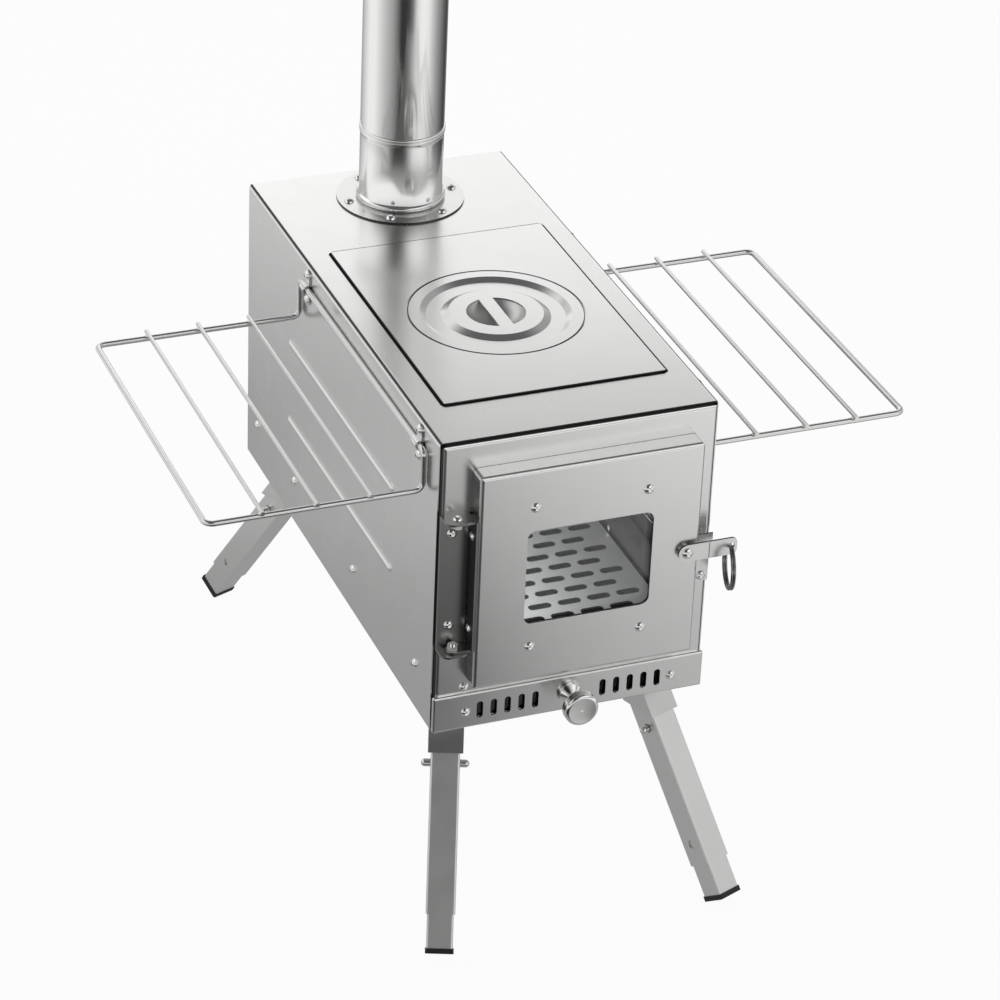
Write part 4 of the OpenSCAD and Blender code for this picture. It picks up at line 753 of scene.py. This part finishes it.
# Racks
# Round stainless wire, drawn and bent. The shelf wires lie on the frame's ends and are
# resistance welded to them, which squeezes out a small bead at each crossing. Drawing through a
# die leaves the wire bright, with marks finer than a millimetre, drawn coarser so that they show.
wire_steel = marked_steel("drawn_stainless_wire", "#E2E2E1", mark_size=0.002, detail=2.0,
                          blur=(0.14, 0.26))
finish(wire_steel, "rack_frame_l", "rack_frame_r", "rack_bars_l", "rack_bars_r")
bars_per_rack = 3
bar_radius = 0.0015
bar_past_frame = 0.004
bead_half = (0.0019, 0.0022, 0.0009)
tree, given, out = new_growth("crossing_weld_beads", [
    ("Bars", "Int", bars_per_rack), ("Bar Spread", "Float", 0.1), ("End Spread", "Float", 0.2),
    ("Centre", "Vector", (0, 0, 0)), ("Bead", "Vector", bead_half)])
bead_grid = add(tree, "GeometryNodeMeshGrid", {
    "Size X": given.outputs["Bar Spread"], "Size Y": given.outputs["End Spread"],
    "Vertices X": given.outputs["Bars"], "Vertices Y": 2})
bead_ball = add(tree, "GeometryNodeMeshUVSphere", {"Segments": 20, "Rings": 10, "Radius": 1.0})
bead_size = add(tree, "GeometryNodeTransform", {"Geometry": bead_ball.outputs[0],
                                                "Scale": given.outputs["Bead"]})
bead_all = add(tree, "GeometryNodeInstanceOnPoints", {
    "Points": bead_grid.outputs[0], "Instance": bead_size.outputs[0]})
bead_there = add(tree, "GeometryNodeTransform", {
    "Geometry": bead_all.outputs[0], "Translation": given.outputs["Centre"]})
close_growth(tree, out, bead_there.outputs[0], wire_steel)
for side, body in (("l", "rack_left"), ("r", "rack_right")):
    bars_low, bars_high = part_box("rack_bars_" + side)
    bars_middle = (bars_low + bars_high) / 2
    bars_middle.z = bars_low.z
    beads = grown("rack_weld_beads_" + side, tree, {
        "Bar Spread": bars_high.x - bars_low.x - 2 * bar_radius,
        "End Spread": bars_high.y - bars_low.y - 2 * bar_past_frame,
        "Centre": bars_middle}, wire_steel)
    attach(beads, body)

# Screws, bolts and rivets
# Stainless button heads with hexagon sockets, hinge bolts, rivets and leg pins. Cold heading in a
# polished die leaves them nearly mirror bright, with faint flow marks.
head_steel = marked_steel("cold_headed_stainless_screw", "#EEEEED", mark_size=0.0012, detail=2.0,
                          blur=(0.08, 0.18))
finish(head_steel, "body_screws", "front_screws", "flange_screws", "rack_screws", "hinge_pins",
       "leg_pins", "leg_rivets", "leaf_rivets", "window_screws", "latch_screw")

# Legs
# Square stainless tubes that slide into each other, with spring steel snap buttons, on moulded
# plastic feet. The tubes are drawn and left unpolished, so they mirror less than the sheet.
leg_steel = satin_sheet("drawn_square_stainless_tube", along=2, colour="#EDEDEC", blur=0.36)
finish(leg_steel, *["leg_tube_" + end for end in leg_ends],
       *["leg_inner_" + end for end in leg_ends])
finish(wire_steel, *["snap_spring_" + end for end in leg_ends])

# Black nylon from a mould with a fine spark-eroded grain, which keeps it matt. The real grain is
# about 0.1 mm and is drawn coarser so that it shows.
foot_colour = "#161616"
foot_blur = (0.4, 0.6)
foot_grain_size = 0.0006
foot_grain_depth = 0.0001
foot_plastic, tree, out = new_material("moulded_black_nylon")
foot_place = add(tree, "ShaderNodeTexCoord")
foot_grain = add(tree, "ShaderNodeTexNoise", {"Vector": foot_place.outputs["Object"],
                                              "Scale": 1 / foot_grain_size, "Detail": 2.0})
foot_relief = add(tree, "ShaderNodeBump", {"Height": foot_grain.outputs[0], "Strength": 0.4,
                                           "Distance": foot_grain_depth})
foot_level = add(tree, "ShaderNodeMapRange", {0: foot_grain.outputs[0], 3: foot_blur[0],
                                              4: foot_blur[1]})
foot = add(tree, "ShaderNodeBsdfPrincipled", {
    "Base Color": linear(foot_colour), "Roughness": foot_level.outputs[0],
    "Normal": foot_relief.outputs[0]})
tree.links.new(foot.outputs[0], out.inputs["Surface"])
finish(foot_plastic, *["foot_cap_" + end for end in leg_ends])
